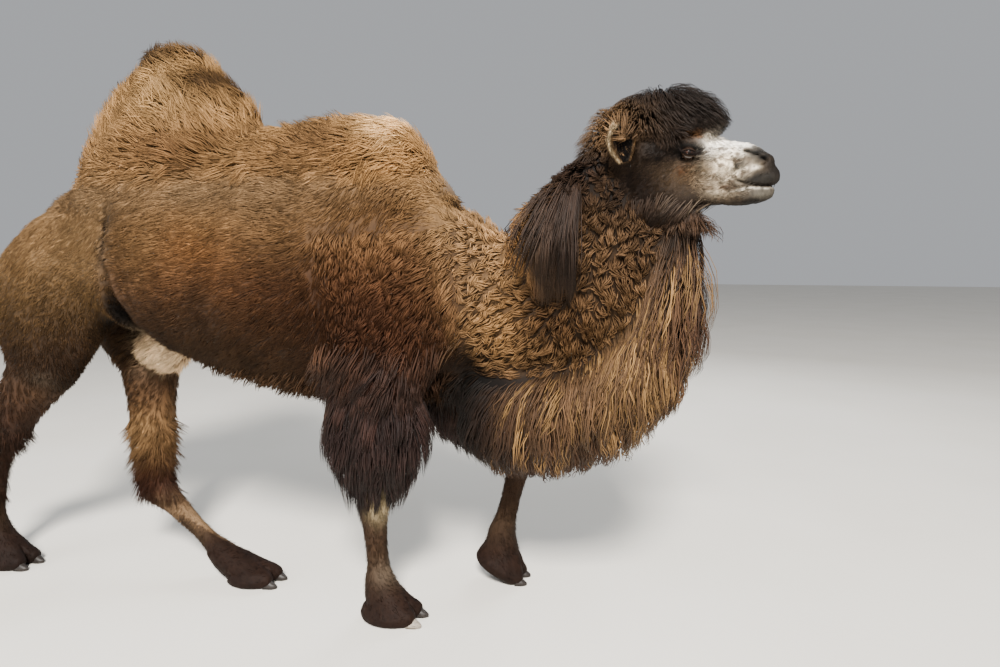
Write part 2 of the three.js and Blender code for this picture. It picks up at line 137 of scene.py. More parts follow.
def trianglesOf(mesh):
    mesh.calc_loop_triangles()
    flat = np.empty(len(mesh.loop_triangles) * 3, np.int32)
    mesh.loop_triangles.foreach_get("vertices", flat)
    return flat.reshape(-1, 3)


def linksOf(mesh):  # which points are neighbours, for spreading values over a surface
    flat = np.empty(len(mesh.edges) * 2, np.int32)
    mesh.edges.foreach_get("vertices", flat)
    pairs = flat.reshape(-1, 2)
    both = np.concatenate([pairs, pairs[:, ::-1]])
    return both[:, 0], both[:, 1], np.bincount(both[:, 0], minlength=len(mesh.vertices))


def spread(values, links, steps, pull=1.0):  # each step draws every value towards its neighbours' mean
    start, end, count = links
    flat = values.reshape(len(values), -1)
    amount = np.broadcast_to(np.asarray(pull, float), (len(values),))[:, None]
    for _ in range(steps):
        sums = [np.bincount(start, flat[end, k], len(flat)) for k in range(flat.shape[1])]
        flat = flat + amount * (np.stack(sums, axis=1) / np.maximum(count, 1)[:, None] - flat)
    return flat.reshape(values.shape)


def movePoints(mesh, points):
    mesh.vertices.foreach_set("co", points.astype(np.float32).ravel())


def setColour(mesh, name, colours):
    layer = mesh.color_attributes.new(name, "FLOAT_COLOR", "POINT")
    rgba = np.ones((len(colours), 4), np.float32)
    rgba[:, :3] = colours
    layer.data.foreach_set("color", rgba.ravel())


def setUV(mesh, name, perVertex):
    layer = mesh.uv_layers.new(name=name)
    index = np.empty(len(mesh.loops), np.int32)
    mesh.loops.foreach_get("vertex_index", index)
    layer.uv.foreach_set("vector", perVertex[index].astype(np.float32).ravel())


def addNode(tree, kind, settings=None, links=None):  # one shader node, its settings and what feeds it
    made = tree.nodes.new("ShaderNode" + kind)
    for key, value in (settings or {}).items():
        if key == "stops":  # of a ramp: pairs of a place and a hex colour or a grey
            elements = made.color_ramp.elements
            while len(elements) < len(value):
                elements.new(0.5)
            for element, (place, tone) in zip(elements, value):
                element.position = place
                element.color = (*(hexToLinear(tone) if isinstance(tone, str) else (tone,) * 3), 1)
        elif isinstance(key, int) or key in made.inputs:
            made.inputs[key].default_value = value
        else:
            setattr(made, key, value)
    for key, source in (links or {}).items():
        tree.links.new(source, made.inputs[key])
    return made


# A mixing node's sockets are numbered: 0 is the share, 6 and 7 are the colours and 2 gives the result.
multiplied = {"data_type": "RGBA", "blend_type": "MULTIPLY", 0: 1.0}


def newMaterial(name, shader):
    material = bpy.data.materials.new(name)
    material.use_nodes = True
    tree = material.node_tree
    tree.nodes.clear()
    surface = addNode(tree, "BsdfPrincipled", shader)
    addNode(tree, "OutputMaterial", None, {"Surface": surface.outputs[0]})
    return material, tree, surface


# Keratin hair, grown: scales on each fibre scatter light along it, so wool looks soft and
# guard hair has a dull silk. A tuft stands for hundreds of fibres, drawn as coarse streaks.
hairLooks = {
    "wool": dict(roughness=0.9, specular=0.06, streaks=3, streakLight=0.3),
    "longHair": dict(roughness=0.62, specular=0.16, streaks=3, streakLight=0.35),
    "shortHair": dict(roughness=0.8, specular=0.1, streaks=3, streakLight=0.25),
}
# Streaks run down the tuft, and the noise moves on 40 units a metre, so no two tufts are streaked alike.
streakLook = dict(along=0.6, moveOn=40, scale=2.2, bump=0.5, relief=0.002)


def hairMaterial(name, look):
    shader = {"Roughness": look["roughness"], "Specular IOR Level": look["specular"], "IOR": 1.55}
    material, tree, surface = newMaterial(name, shader)
    tint = addNode(tree, "Attribute", {"attribute_name": "coatTint"})
    across = addNode(tree, "UVMap", {"uv_map": "strand"})
    stretched = addNode(tree, "Mapping", {"Scale": (look["streaks"], streakLook["along"], 1)},
                        {"Vector": across.outputs[0]})
    place = addNode(tree, "TexCoord")
    spot = addNode(tree, "Mapping", {"Scale": (streakLook["moveOn"],) * 3},
                   {"Vector": place.outputs["Object"]})
    moved = addNode(tree, "VectorMath", {"operation": "ADD"})
    tree.links.new(stretched.outputs[0], moved.inputs[0])
    tree.links.new(spot.outputs[0], moved.inputs[1])
    streak = addNode(tree, "TexNoise", {"Scale": streakLook["scale"], "Detail": 3, "Roughness": 0.6},
                     {"Vector": moved.outputs[0]})
    low, high = 1 - look["streakLight"], 1 + look["streakLight"]
    light = addNode(tree, "ValToRGB", {"stops": [(0.3, low), (0.7, high)]}, {"Fac": streak.outputs["Fac"]})
    colour = addNode(tree, "Mix", multiplied, {6: tint.outputs["Color"], 7: light.outputs["Color"]})
    tree.links.new(colour.outputs[2], surface.inputs["Base Color"])
    bump = addNode(tree, "Bump", {"Strength": streakLook["bump"], "Distance": streakLook["relief"]},
                   {"Height": streak.outputs["Fac"]})
    tree.links.new(bump.outputs[0], surface.inputs["Normal"])
    return material


# Skin under the coat, and the bare lips, callus and soles: leathery, with a fine pebble and short hair
# lying on it. Hair is 0.1 mm thick and is drawn some 7 mm wide, 150 streaks to a metre and stretched
# downwards, so that it shows; the pebble is 4 mm wide, 260 to a metre; a blotch is 110 mm, 9 to a metre.
skinLook = dict(roughness=0.7, shine=0.12, relief=0.0018, hairStreak=150, stretch=0.22,
                streakLight=[(0.3, 0.72), (0.7, 1.2)], blotch=9, blotchLight=[(0.35, 0.85), (0.65, 1.1)],
                pebble=260, pebbleShare=0.4)


def skinMaterial(look):
    shader = {"Roughness": look["roughness"], "Specular IOR Level": look["shine"], "IOR": 1.45}
    material, tree, surface = newMaterial("camel hide, haired", shader)
    tint = addNode(tree, "Attribute", {"attribute_name": "coatTint"})
    place = addNode(tree, "TexCoord")
    lying = addNode(tree, "Mapping", {"Scale": (1, 1, look["stretch"])}, {"Vector": place.outputs["Object"]})
    hairs = addNode(tree, "TexNoise", {"Scale": look["hairStreak"], "Detail": 3, "Roughness": 0.65},
                    {"Vector": lying.outputs[0]})
    pebble = addNode(tree, "TexNoise", {"Scale": look["pebble"], "Detail": 2},
                     {"Vector": place.outputs["Object"]})
    blotch = addNode(tree, "TexNoise", {"Scale": look["blotch"], "Detail": 4},
                     {"Vector": place.outputs["Object"]})
    light = addNode(tree, "ValToRGB", {"stops": look["streakLight"]}, {"Fac": hairs.outputs["Fac"]})
    patch = addNode(tree, "ValToRGB", {"stops": look["blotchLight"]}, {"Fac": blotch.outputs["Fac"]})
    streaked = addNode(tree, "Mix", multiplied, {6: tint.outputs["Color"], 7: light.outputs["Color"]})
    colour = addNode(tree, "Mix", multiplied, {6: streaked.outputs[2], 7: patch.outputs["Color"]})
    tree.links.new(colour.outputs[2], surface.inputs["Base Color"])
    height = addNode(tree, "Mix", {"data_type": "RGBA", "blend_type": "MIX", 0: look["pebbleShare"]},
                     {6: hairs.outputs["Fac"], 7: pebble.outputs["Fac"]})
    bump = addNode(tree, "Bump", {"Strength": 0.8, "Distance": look["relief"]}, {"Height": height.outputs[2]})
    tree.links.new(bump.outputs[0], surface.inputs["Normal"])
    return material


# Horn, grown in layers and worn on the ground: dull grey-brown with streaks along its length, drawn
# 4 mm wide and 30 mm long so that they show.
nailLook = dict(dark="#0b0908", pale="#2c2521", roughness=0.5, streak=(12, 90, 90), scale=3)
wornNailLook = dict(nailLook, dark="#57504a", pale="#a89d8f", roughness=0.55)  # one is bleached


def nailMaterial(name, look):
    shader = {"Roughness": look["roughness"], "IOR": 1.54, "Specular IOR Level": 0.3}
    material, tree, surface = newMaterial(name, shader)
    place = addNode(tree, "TexCoord")
    along = addNode(tree, "Mapping", {"Scale": look["streak"]}, {"Vector": place.outputs["Object"]})
    grain = addNode(tree, "TexNoise", {"Scale": look["scale"], "Detail": 5, "Roughness": 0.7},
                    {"Vector": along.outputs[0]})
    tone = addNode(tree, "ValToRGB", {"stops": [(0.3, look["dark"]), (0.72, look["pale"])]},
                   {"Fac": grain.outputs["Fac"]})
    tree.links.new(tone.outputs["Color"], surface.inputs["Base Color"])
    bump = addNode(tree, "Bump", {"Strength": 0.5, "Distance": 0.001}, {"Height": grain.outputs["Fac"]})
    tree.links.new(bump.outputs[0], surface.inputs["Normal"])
    return material


# A wet eye: dark brown iris round a level slot of a pupil, under a clear film that mirrors the light.
eyeLook = dict(pupil="#040303", iris="#3a2013", rim="#120b08", white="#1d140f", slot=(0.8, 1.25, 1), fibres=9)


def eyeMaterial(look):
    shader = {"Roughness": 0.22, "IOR": 1.38, "Coat Weight": 1.0, "Coat Roughness": 0.02}
    material, tree, surface = newMaterial("eye, wet and clear", shader)
    flat = addNode(tree, "UVMap", {"uv_map": "gaze"})
    stretched = addNode(tree, "Mapping", {"Scale": look["slot"]}, {"Vector": flat.outputs[0]})
    fromMiddle = addNode(tree, "VectorMath", {"operation": "LENGTH"}, {"Vector": stretched.outputs[0]})
    fibres = addNode(tree, "TexNoise", {"Scale": look["fibres"], "Detail": 4}, {"Vector": flat.outputs[0]})
    stops = [(0.2, look["pupil"]), (0.26, look["iris"]), (0.55, look["rim"]), (0.72, look["white"])]
    rings = addNode(tree, "ValToRGB", {"stops": stops}, {"Fac": fromMiddle.outputs["Value"]})
    light = addNode(tree, "ValToRGB", {"stops": [(0.3, 0.6), (0.7, 1.3)]}, {"Fac": fibres.outputs["Fac"]})
    colour = addNode(tree, "Mix", multiplied, {6: rings.outputs["Color"], 7: light.outputs["Color"]})
    tree.links.new(colour.outputs[2], surface.inputs["Base Color"])
    return material


# How deep the coat stands on each part, in millimetres, and how hard the facets are smoothed away.
coatDepth = {"hump": 40, "trunk": 18, "sheath": 14, "thigh": 13, "shoulder": 24, "neck": 30, "tail": 9,
             "tail_tuft": 26, "topknot": 36, "nape": 40, "throat": 60, "muff": 42, "forearm": 9,
             "gaskin": 12, "cannon": 4.5, "foot": 3.5, "head": 4, "lower_jaw": 4, "cheeks": 9, "ear": 5}
smoothing = {"head": 0.25, "lower_jaw": 0.25, "cheeks": 0.5, "foot": 0.16, "cannon": 0.4, "forearm": 0.6,
             "gaskin": 0.6, "tail": 0.5, "tail_tuft": 0.5}
skinShape = dict(voxel=0.012, closing=0.0022, firstSteps=70, firstPull=0.5, sinks=(-0.075, 0.02), lastSteps=6,
                 lastPull=0.4)
leftSeparate = ("eye_", "nail_", "ear_")  # the ears join the skin later
coveredNodes = sorted(n for n in cadNodes if not n.startswith(leftSeparate))


def kindOf(node):  # the longest key that a node's name starts with
    return max((key for key in coatDepth if node.startswith(key)), key=len)


kinds = sorted(coatDepth)
nodeKind = np.array([kinds.index(kindOf(n)) for n in coveredNodes])


def joinedNodes(names, grow):  # their triangles in one list, and which node each comes from
    points, triangles, owner = [], [], []
    for number, name in enumerate(names):
        made = bmesh.new()
        made.from_mesh(cadNodes[name].data)
        bmesh.ops.remove_doubles(made, verts=made.verts, dist=1e-5)
        bmesh.ops.triangulate(made, faces=made.faces)
        made.normal_update()
        offset = sum(len(p) for p in points)
        points.append(np.array([v.co + v.normal * grow for v in made.verts]))
        triangles.append(np.array([[v.index + offset for v in f.verts] for f in made.faces]))
        owner.append(np.full(len(made.faces), number))
        made.free()
    return np.concatenate(points), np.concatenate(triangles), np.concatenate(owner)


def voxelRemesh(mesh, size):
    holder = addObject("remesh", mesh, smooth=False)
    remesh = holder.modifiers.new("remesh", "REMESH")
    remesh.mode = "VOXEL"
    remesh.voxel_size = size
    evaluated = holder.evaluated_get(bpy.context.evaluated_depsgraph_get())
    made = bpy.data.meshes.new_from_object(evaluated)
    bpy.data.objects.remove(holder)
    return made


def largestBody(mesh):  # drops loose bubbles
    made = bmesh.new()
    made.from_mesh(mesh)
    made.verts.ensure_lookup_table()
    seen, best = set(), []
    for first in made.verts:
        if first in seen:
            continue
        body, stack = [], [first]
        seen.add(first)
        while stack:
            v = stack.pop()
            body.append(v)
            for e in v.link_edges:
                other = e.other_vert(v)
                if other not in seen:
                    seen.add(other)
                    stack.append(other)
        best = max(best, body, key=len)
    keep = set(best)
    bmesh.ops.delete(made, geom=[v for v in made.verts if v not in keep], context="VERTS")
    made.to_mesh(mesh)
    made.free()
    return mesh


def nearest(tree, points):
    feet, normals = np.empty_like(points), np.empty_like(points)
    faces = np.empty(len(points), int)
    for i, p in enumerate(points.tolist()):
        foot, normal, faces[i], _ = tree.find_nearest(p)
        feet[i], normals[i] = foot, normal
    return feet, normals, faces


outerPoints, outerTriangles, outerOwner = joinedNodes(coveredNodes, 0)
outerTree = BVHTree.FromPolygons(outerPoints.tolist(), outerTriangles.tolist())


def partsAt(points):  # signed distance to the solids, and which kind of part is nearest
    feet, normals, faces = nearest(outerTree, points)
    away = points - feet
    distance = np.linalg.norm(away, axis=1) * np.sign((away * normals).sum(axis=1))
    return distance, nodeKind[outerOwner[faces]]


def perKind(table, default=0):
    return np.array([table.get(k, default) for k in kinds])


print("skin: joining the solids")
grown, grownTriangles, _ = joinedNodes(coveredNodes, skinShape["closing"])
skinMesh = largestBody(voxelRemesh(meshFrom("solids", grown, triangles=grownTriangles), skinShape["voxel"]))
links = linksOf(skinMesh)
points = pointsOf(skinMesh)
_, kind = partsAt(points)
ease = spread(perKind(smoothing, 1.0)[kind], links, 6)
points = spread(points, links, skinShape["firstSteps"], skinShape["firstPull"] * ease)
movePoints(skinMesh, points)
skinMesh.update()
distance, kind = partsAt(points)
wanted = spread(perKind(coatDepth)[kind] * mm, links, 10)
shift = spread(-wanted - distance, links, 8)
points = points + normalsOf(skinMesh) * np.clip(shift, *skinShape["sinks"])[:, None]
movePoints(skinMesh, points)
skinMesh = largestBody(voxelRemesh(skinMesh, skinShape["voxel"]))
points = spread(pointsOf(skinMesh), linksOf(skinMesh), skinShape["lastSteps"], skinShape["lastPull"])
movePoints(skinMesh, points)
skinMesh.update()
print("skin: joined,", len(skinMesh.vertices), "points")

# Hollows and swellings of the body, in millimetres: the free edge of the flank's fold runs forward and down
# from the haunch, with the groin sunk behind it, and a matted lump stands on the rear hump.
foldShape = dict(edge=[(-727, 940), (-829, 1009), (-870, 1082), (-926, 1171), (-978, 1277), (-1002, 1348)],
                 starts=(870, 960), ends=(1270, 1345), fromMidline=(60, 260), sinksOver=60, deep=150, lip=9,
                 lipAhead=14, lipWide=18)
lumps = {
    "crease before the haunch": dict(at=(-1020, 1395), reach=(15, 85), high=-16),
    "clump on the hump": dict(at=(-610, 1915), reach=(70, 60), high=30),
    "crown of the hump": dict(at=(-700, 2055), reach=(60, 40), high=12),
    "crest of the hump": dict(at=(-960, 2075), reach=(90, 40), high=10),
    "front hump": dict(at=(60, 1735), reach=(120, 80), high=8),
    "front of the rear hump": dict(at=(-470, 1790), reach=(85, 75), high=45),
    "poll": dict(at=(885, 1850), reach=(75, 60), high=16),
    "before the poll": dict(at=(1140, 1730), reach=(50, 75), high=-14),
}
matting = [dict(high=5, size=0.1, seed=61), dict(high=3, size=0.05, seed=62)]  # matted wool is never even
woollyKinds = ("hump", "trunk", "shoulder", "neck", "throat")


def kindIn(names, kind):
    return np.isin(kind, [kinds.index(n) for n in names])


def hollowGroin(look, points, normals, kind):
    body = inBody(points)
    z, x = np.array([e[1] for e in look["edge"]]), np.array([e[0] for e in look["edge"]])
    behind = np.interp(body[:, 2], z, x) - body[:, 0]
    height = smoothStep(*look["starts"], body[:, 2]) * (1 - smoothStep(*look["ends"], body[:, 2]))
    sideways = np.abs(body[:, 1])
    onTrunk = kindIn(["trunk"], kind) & (sideways > look["fromMidline"][0])
    sunk = smoothStep(0, look["sinksOver"], behind) * height * onTrunk
    sunk = sunk * smoothStep(*look["fromMidline"], sideways)
    lip = np.exp(-((behind + look["lipAhead"]) / look["lipWide"]) ** 2) * height * onTrunk
    moved = points.copy()
    moved[:, 1] -= np.sign(body[:, 1]) * sunk * look["deep"] * mm
    return moved + normals * (lip * look["lip"] * mm)[:, None], sunk


def swell(points, normals, kind):
    body = inBody(points)
    rise = np.zeros(len(points))
    for lump in lumps.values():
        off = np.linalg.norm((body[:, [0, 2]] - np.array(lump["at"])) / np.array(lump["reach"]), axis=1)
        rise += lump["high"] * np.exp(-off ** 2)
    rough = sum(wave["high"] * ripple(points, wave["size"], wave["seed"]) for wave in matting)
    return points + normals * ((rise + spread(rough * kindIn(woollyKinds, kind), links, 4)) * mm)[:, None]


links = linksOf(skinMesh)
_, kind = partsAt(points)
points, inGroin = hollowGroin(foldShape, points, normalsOf(skinMesh), kind)
skinFaces = trianglesOf(skinMesh)
groinFaces = skinFaces[inGroin[skinFaces].min(axis=1) > 0.5]
groinTree = BVHTree.FromPolygons([tuple(c) for c in points], groinFaces.tolist())
points = spread(swell(points, normalsOf(skinMesh), kind), links, 2, 0.4)
movePoints(skinMesh, points)
skinMesh.update()
print("skin: groin hollowed and humps swollen")

# Rounded forms about the point midway between the eyes, in millimetres; out is how far a paired
# form stands from the midline. Grooves are lines down which the skin sinks: nostril, mouth, folds.
headShape = dict(
    blend=8,
    forms={
        "cranium": dict(x=-130, z=5, long=115, wide=85, high=79),
        "cheek": dict(out=34, x=-85, z=-85, long=109, wide=58, high=94),
        "face": dict(x=50, z=-20, long=108, wide=60, high=66),
        "brow": dict(out=52, x=-4, z=29, long=50, wide=34, high=28),
        "cheek bone": dict(out=50, x=16, z=-34, long=70, wide=22, high=13),
        "bridge": dict(x=130, z=-12, long=95, wide=34, high=51),
        "muzzle": dict(x=188, z=-58, long=60, wide=46, high=38),
        "nostril wing": dict(out=24, x=205, z=-22, long=38, wide=19, high=22),
        "nose side": dict(out=30, x=178, z=-18, long=30, wide=16, high=18),
        "upper lip": dict(out=14, x=226, z=-70, long=38, wide=28, high=26),
        "lip corner": dict(out=30, x=165, z=-84, long=42, wide=15, high=14),
        "lower lip": dict(x=188, z=-122, long=50, wide=32, high=22),
        "lower lip edge": dict(out=10, x=220, z=-117, long=22, wide=16, high=12),
        "chin": dict(x=150, z=-131, long=32, wide=24, high=16),
        "jaw": dict(x=70, z=-112, long=125, wide=38, high=37),
        "jaw angle": dict(out=44, x=-40, z=-128, long=62, wide=24, high=50),
    },
    grooves={
        "mouth": dict(path=[(128, -62), (142, -78), (160, -89), (185, -95), (215, -99), (285, -97)],
                      deep=10, wide=4),
        "nostril": dict(path=[(166, 10), (186, 5), (205, -5), (228, -25)], deep=14, wide=4.2, out=14),
        "nostril floor": dict(path=[(228, -25), (224, -37), (208, -41)], deep=4, wide=4, out=16),
        "lip corner fold": dict(path=[(112, -48), (120, -66), (122, -92)], deep=4, wide=6, out=20),
        "fold below the eye": dict(path=[(36, -14), (58, -16), (84, -26), (98, -46)], deep=4, wide=5, out=25),
        "tear line": dict(path=[(24, -8), (36, -24), (40, -42)], deep=3.5, wide=5, out=30),
        "cheek fold": dict(path=[(-14, -30), (2, -44), (14, -64)], deep=4, wide=6, out=30),
        "muzzle fold": dict(path=[(132, -22), (138, -42), (136, -56)], deep=4, wide=6, out=20),
        "behind the nose": dict(path=[(150, 20), (158, 0), (152, -20)], deep=3, wide=7, out=18),
        "eye hollow": dict(path=[(-16, 0), (4, 0), (20, -2)], deep=5, wide=14, out=30),
    },
    lipSplit=dict(ahead=245, low=-94, high=-48, deep=6, wide=4),
    face=dict(long=(-165, 330), high=(-215, 62), out=110),
    fades=dict(back=(-165, -110), top=(28, 60), topBehind=90, under=(-150, -205)),
    rounds=6, stride=9, ease=0.8, lastPull=0.4, bare=(40, 110),
    creases=[dict(high=1.3, size=0.016, seed=71), dict(high=0.9, size=0.007, seed=72)],
)


def headField(p):  # about zero on the head's surface and negative inside, millimetres
    total = np.zeros(len(p))
    for form in headShape["forms"].values():
        size = np.array([form["long"], form["wide"], form["high"]], float)
        for side in ((-1, 1) if "out" in form else (0,)):
            middle = np.array([form["x"], side * form.get("out", 0), form["z"]])
            near = np.linalg.norm((p - middle) / size, axis=1)
            total += np.exp(np.minimum((1 - near) * size.min() / headShape["blend"], 60))
    return -headShape["blend"] * np.log(np.maximum(total, 1e-30))


def fieldSlope(p):
    step = 0.5
    ends = [headField(p + step * axis) - headField(p - step * axis) for axis in np.eye(3)]
    return np.stack(ends, axis=1) / (2 * step)


def distanceToPath(p, path):  # in side view
    best = np.full(len(p), 1e9)
    flat = p[:, [0, 2]]
    for a, b in zip(path[:-1], path[1:]):
        a, b = np.array(a, float), np.array(b, float)
        share = np.clip(((flat - a) @ (b - a)) / ((b - a) @ (b - a)), 0, 1)
        best = np.minimum(best, np.linalg.norm(flat - (a + share[:, None] * (b - a)), axis=1))
    return best


def grooveDepth(p):
    depth = np.zeros(len(p))
    for groove in headShape["grooves"].values():
        fall = np.exp(-(distanceToPath(p, groove["path"]) / groove["wide"]) ** 2)
        outside = np.abs(p[:, 1]) > groove.get("out", 0)
        depth = np.maximum(depth, groove["deep"] * fall * outside)
    split = headShape["lipSplit"]
    inSplit = (p[:, 0] > split["ahead"]) * smoothStep(split["low"], split["low"] + 8, p[:, 2])
    inSplit = inSplit * (1 - smoothStep(split["high"], split["high"] + 16, p[:, 2]))
    return np.maximum(depth, split["deep"] * inSplit * np.exp(-(p[:, 1] / split["wide"]) ** 2))


def refine(mesh, chosen):  # each chosen face becomes four
    made = bmesh.new()
    made.from_mesh(mesh)
    made.verts.ensure_lookup_table()
    marked = chosen(pointsOf(mesh))
    edges = [e for e in made.edges if marked[e.verts[0].index] and marked[e.verts[1].index]]
    bmesh.ops.subdivide_edges(made, edges=edges, cuts=1, use_grid_fill=True, smooth=0.6)
    bmesh.ops.triangulate(made, faces=[f for f in made.faces if len(f.verts) > 4])
    made.to_mesh(mesh)
    made.free()


def onFace(points):  # the head's bare-faced part, ahead of the ears
    p = inHead(points)
    (back, front), (low, high) = headShape["face"]["long"], headShape["face"]["high"]
    inSideView = (p[:, 0] > back) & (p[:, 0] < front) & (p[:, 2] > low) & (p[:, 2] < high)
    return inSideView & (np.abs(p[:, 1]) < headShape["face"]["out"])


# Two toes to a foot: each swells over the back of its nail, and a cleft parts them. Millimetres.
toeShape = dict(size=(56, 28, 29), back=46, lift=9, blend=6, inset=2, around=(30, 60), fades=(70, 115),
                rounds=7, stride=8, ease=0.7, cleftDeep=16, cleftWide=6, cleftLong=(44, 110),
                cleftFrom=-120, sole=0.5, flatBelow=4, lastPull=0.35)
footHeight, toeHeight = 120, 90  # skin lower than these is drawn finer, and finer again


def onFoot(points):
    return points[:, 2] < footHeight * mm


def nailsOfFoot(foot):  # the nails whose names end like the foot's
    return [n for n in sorted(cadNodes) if n.startswith("nail" + foot[4:])]


def shapeFeet(look):  # draws the skin onto the blend of foot and toes, then cuts the clefts
    points = pointsOf(skinMesh)
    for foot in [n for n in sorted(cadNodes) if n.startswith("foot_")]:
        low, high = boxOf(foot)
        nails = [middleOf(n) for n in nailsOfFoot(foot)]
        middle, reach = np.mean(nails, axis=0), max(boxOf(n)[1][0] for n in nailsOfFoot(foot))
        under, over = low - look["around"][0] * mm, high + look["around"][1] * mm
        inBox = (points > under).all(axis=1) & (points < over).all(axis=1)
        mine = np.flatnonzero(inBox & (points[:, 2] < look["fades"][1] * mm))
        p = points[mine]
        fade = (1 - smoothStep(look["fades"][0] * mm, look["fades"][1] * mm, p[:, 2]))[:, None]
        for _ in range(look["rounds"]):
            feet, normals, _ = nearest(outerTree, p)
            gap = ((p - feet) * normals).sum(axis=1) / mm + look["inset"]
            weights, ways = [np.exp(-gap / look["blend"])], [normals]
            for nail in nails:
                size = np.array(look["size"])
                local = (p - nail) / mm + np.array([look["back"], 0, -look["lift"]])
                near = np.maximum(np.linalg.norm(local / size, axis=1), 1e-3)
                weights.append(np.exp(np.clip((1 - near) * size.min() / look["blend"], -60, 60)))
                ways.append(unit(local / size ** 2))
            total = np.sum(weights, axis=0)
            way = unit(sum(w[:, None] * v for w, v in zip(weights, ways)) / total[:, None])
            move = -look["blend"] * np.log(np.maximum(total, 1e-30))
            p = p - way * np.clip(move, -look["stride"], look["stride"])[:, None] * mm * look["ease"] * fade
        points[mine] = p
        fromFront = (reach - p[:, 0]) / mm
        cleft = np.exp(-(((p[:, 1] - middle[1]) / mm) / look["cleftWide"]) ** 2)
        cleft = cleft * (1 - smoothStep(*look["cleftLong"], fromFront)) * fade[:, 0]
        inward = unit(p - (middle + np.array([look["cleftFrom"] * mm, 0, 0.0])))
        points[mine] -= inward * (cleft * look["cleftDeep"] * mm)[:, None]
    sole = look["sole"] * mm  # the soles are level, just off the floor
    points[:, 2] = np.maximum(points[:, 2], np.where(points[:, 2] < look["flatBelow"] * mm, sole, -1))
    relaxed = spread(points, linksOf(skinMesh), 2, look["lastPull"] * onFoot(points))
    movePoints(skinMesh, relaxed)
    skinMesh.update()


def shapeHead(look):  # draws the skin onto the head's forms, then sinks the grooves and creases
    refine(skinMesh, lambda p: onFace(p) | onFoot(p))
    refine(skinMesh, lambda p: onFace(p) | (p[:, 2] < toeHeight * mm))
    fades = look["fades"]
    points = pointsOf(skinMesh)
    face = np.flatnonzero(onFace(points))
    p = inHead(points[face])
    weight = smoothStep(*fades["back"], p[:, 0])
    weight = weight * (1 - smoothStep(*fades["top"], p[:, 2]) * (p[:, 0] < fades["topBehind"]))
    weight = weight * (1 - smoothStep(*fades["under"], p[:, 2]))
    for _ in range(look["rounds"]):
        slope = fieldSlope(p)
        move = headField(p)[:, None] * slope / np.maximum((slope ** 2).sum(axis=1), 0.05)[:, None]
        p = p - np.clip(move, -look["stride"], look["stride"]) * weight[:, None] * look["ease"]
    points[face] = headAt + p * mm
    movePoints(skinMesh, points)
    relaxed = spread(points, linksOf(skinMesh), 3, look["lastPull"] * onFace(points))
    p = inHead(relaxed[face])
    slope = unit(fieldSlope(p))
    bare = smoothStep(*look["bare"], p[:, 0])
    creases = bare * sum(c["high"] * ripple(relaxed[face], c["size"], c["seed"], 14) for c in look["creases"])
    relaxed[face] -= slope * ((grooveDepth(p) + creases) * weight)[:, None] * mm
    movePoints(skinMesh, relaxed)
    skinMesh.update()


shapeHead(headShape)
shapeFeet(toeShape)

# An ear is a rounded cup: its back is furred and its rim pale; its hollow is painted in dark shade, lifted on
# the rear wall where light reaches the hair. Millimetres.
earShape = dict(base=(-186, 104, -24), lean=(-0.22, 0.14, 1.0), long=108, wide=50, deep=30, thick=9,
                faces=(0.66, 0.75, -0.1), rows=22, columns=26, opening=100, swells=(0.42, 0.58),
                broadestAt=0.62, tipFall=4.5, curl=0.1, rimFrom=(0.78, 0.97), rim="#d9bd94",
                hollow="#150d08", back="#9a7853", hairInside=0.8)


def earShell(look, side):  # a closed shell: out round the back, then in round the hollow
    mirror = np.array([1, side, 1])
    axis, toward = unit(np.array(look["lean"]) * mirror), unit(np.array(look["faces"]) * mirror)
    toward = unit(toward - axis * (toward @ axis))
    across = np.cross(axis, toward)
    turn = np.radians(np.linspace(-look["opening"], look["opening"], look["columns"]))
    turns = np.concatenate([turn, turn[::-1]])
    layer = np.repeat([1, 0], look["columns"])
    shell, tone = [], []
    for share in np.linspace(0, 1, look["rows"]):  # it swells, then draws in to a round tip
        atFoot, added = look["swells"]
        broad = atFoot + added * math.sin(math.pi * min(share / look["broadestAt"], 1) / 2)
        broad = broad * math.sqrt(max(1 - share ** look["tipFall"], 0.004))
        thick = look["thick"] * (1 - layer) * (share < look["rimFrom"][1])
        wide, deep = look["wide"] * broad - thick, look["deep"] * broad - thick
        curl = 1 + look["curl"] * np.cos(turns * 3)
        middle = np.array(look["base"]) * mirror + axis * look["long"] * share
        shell.append(middle + across * (np.sin(turns) * np.maximum(wide, 1))[:, None] * curl[:, None]
                     - toward * (np.cos(turns) * np.maximum(deep, 1))[:, None])
        edge = smoothStep(*look["rimFrom"], np.maximum(np.abs(turns) / turns.max(), share * 1.02))[:, None]
        # the hollow's painted shade gives way on the rear wall, which is lit and shows the hair's tone
        lit = smoothStep(0.1, 0.8, side * np.sin(turns))[:, None] * look["hairInside"]  # on the rear wall
        hollow = hexToLinear(look["hollow"]) * (1 - lit) + hexToLinear(look["back"]) * lit
        plain = np.where(layer[:, None] > 0, hexToLinear(look["back"]), hollow)
        edge = edge * smoothStep(-0.5, 0.5, side * np.sin(turns))[:, None]  # palest behind
        tone.append(plain + edge * (hexToLinear(look["rim"]) - plain))
    ring = len(turns)
    last = (look["rows"] - 1) * ring
    half = look["columns"]
    foot = [(k, 2 * half - 1 - k, 2 * half - 2 - k, k + 1) for k in range(half - 1)]
    tip = [tuple(last + n for n in reversed(quad)) for quad in foot]
    quads = np.concatenate([ringQuads(look["rows"], ring), np.array(foot + tip)])
    return headAt + np.concatenate(shell) * mm, quads if side < 0 else quads[:, ::-1], np.concatenate(tone)


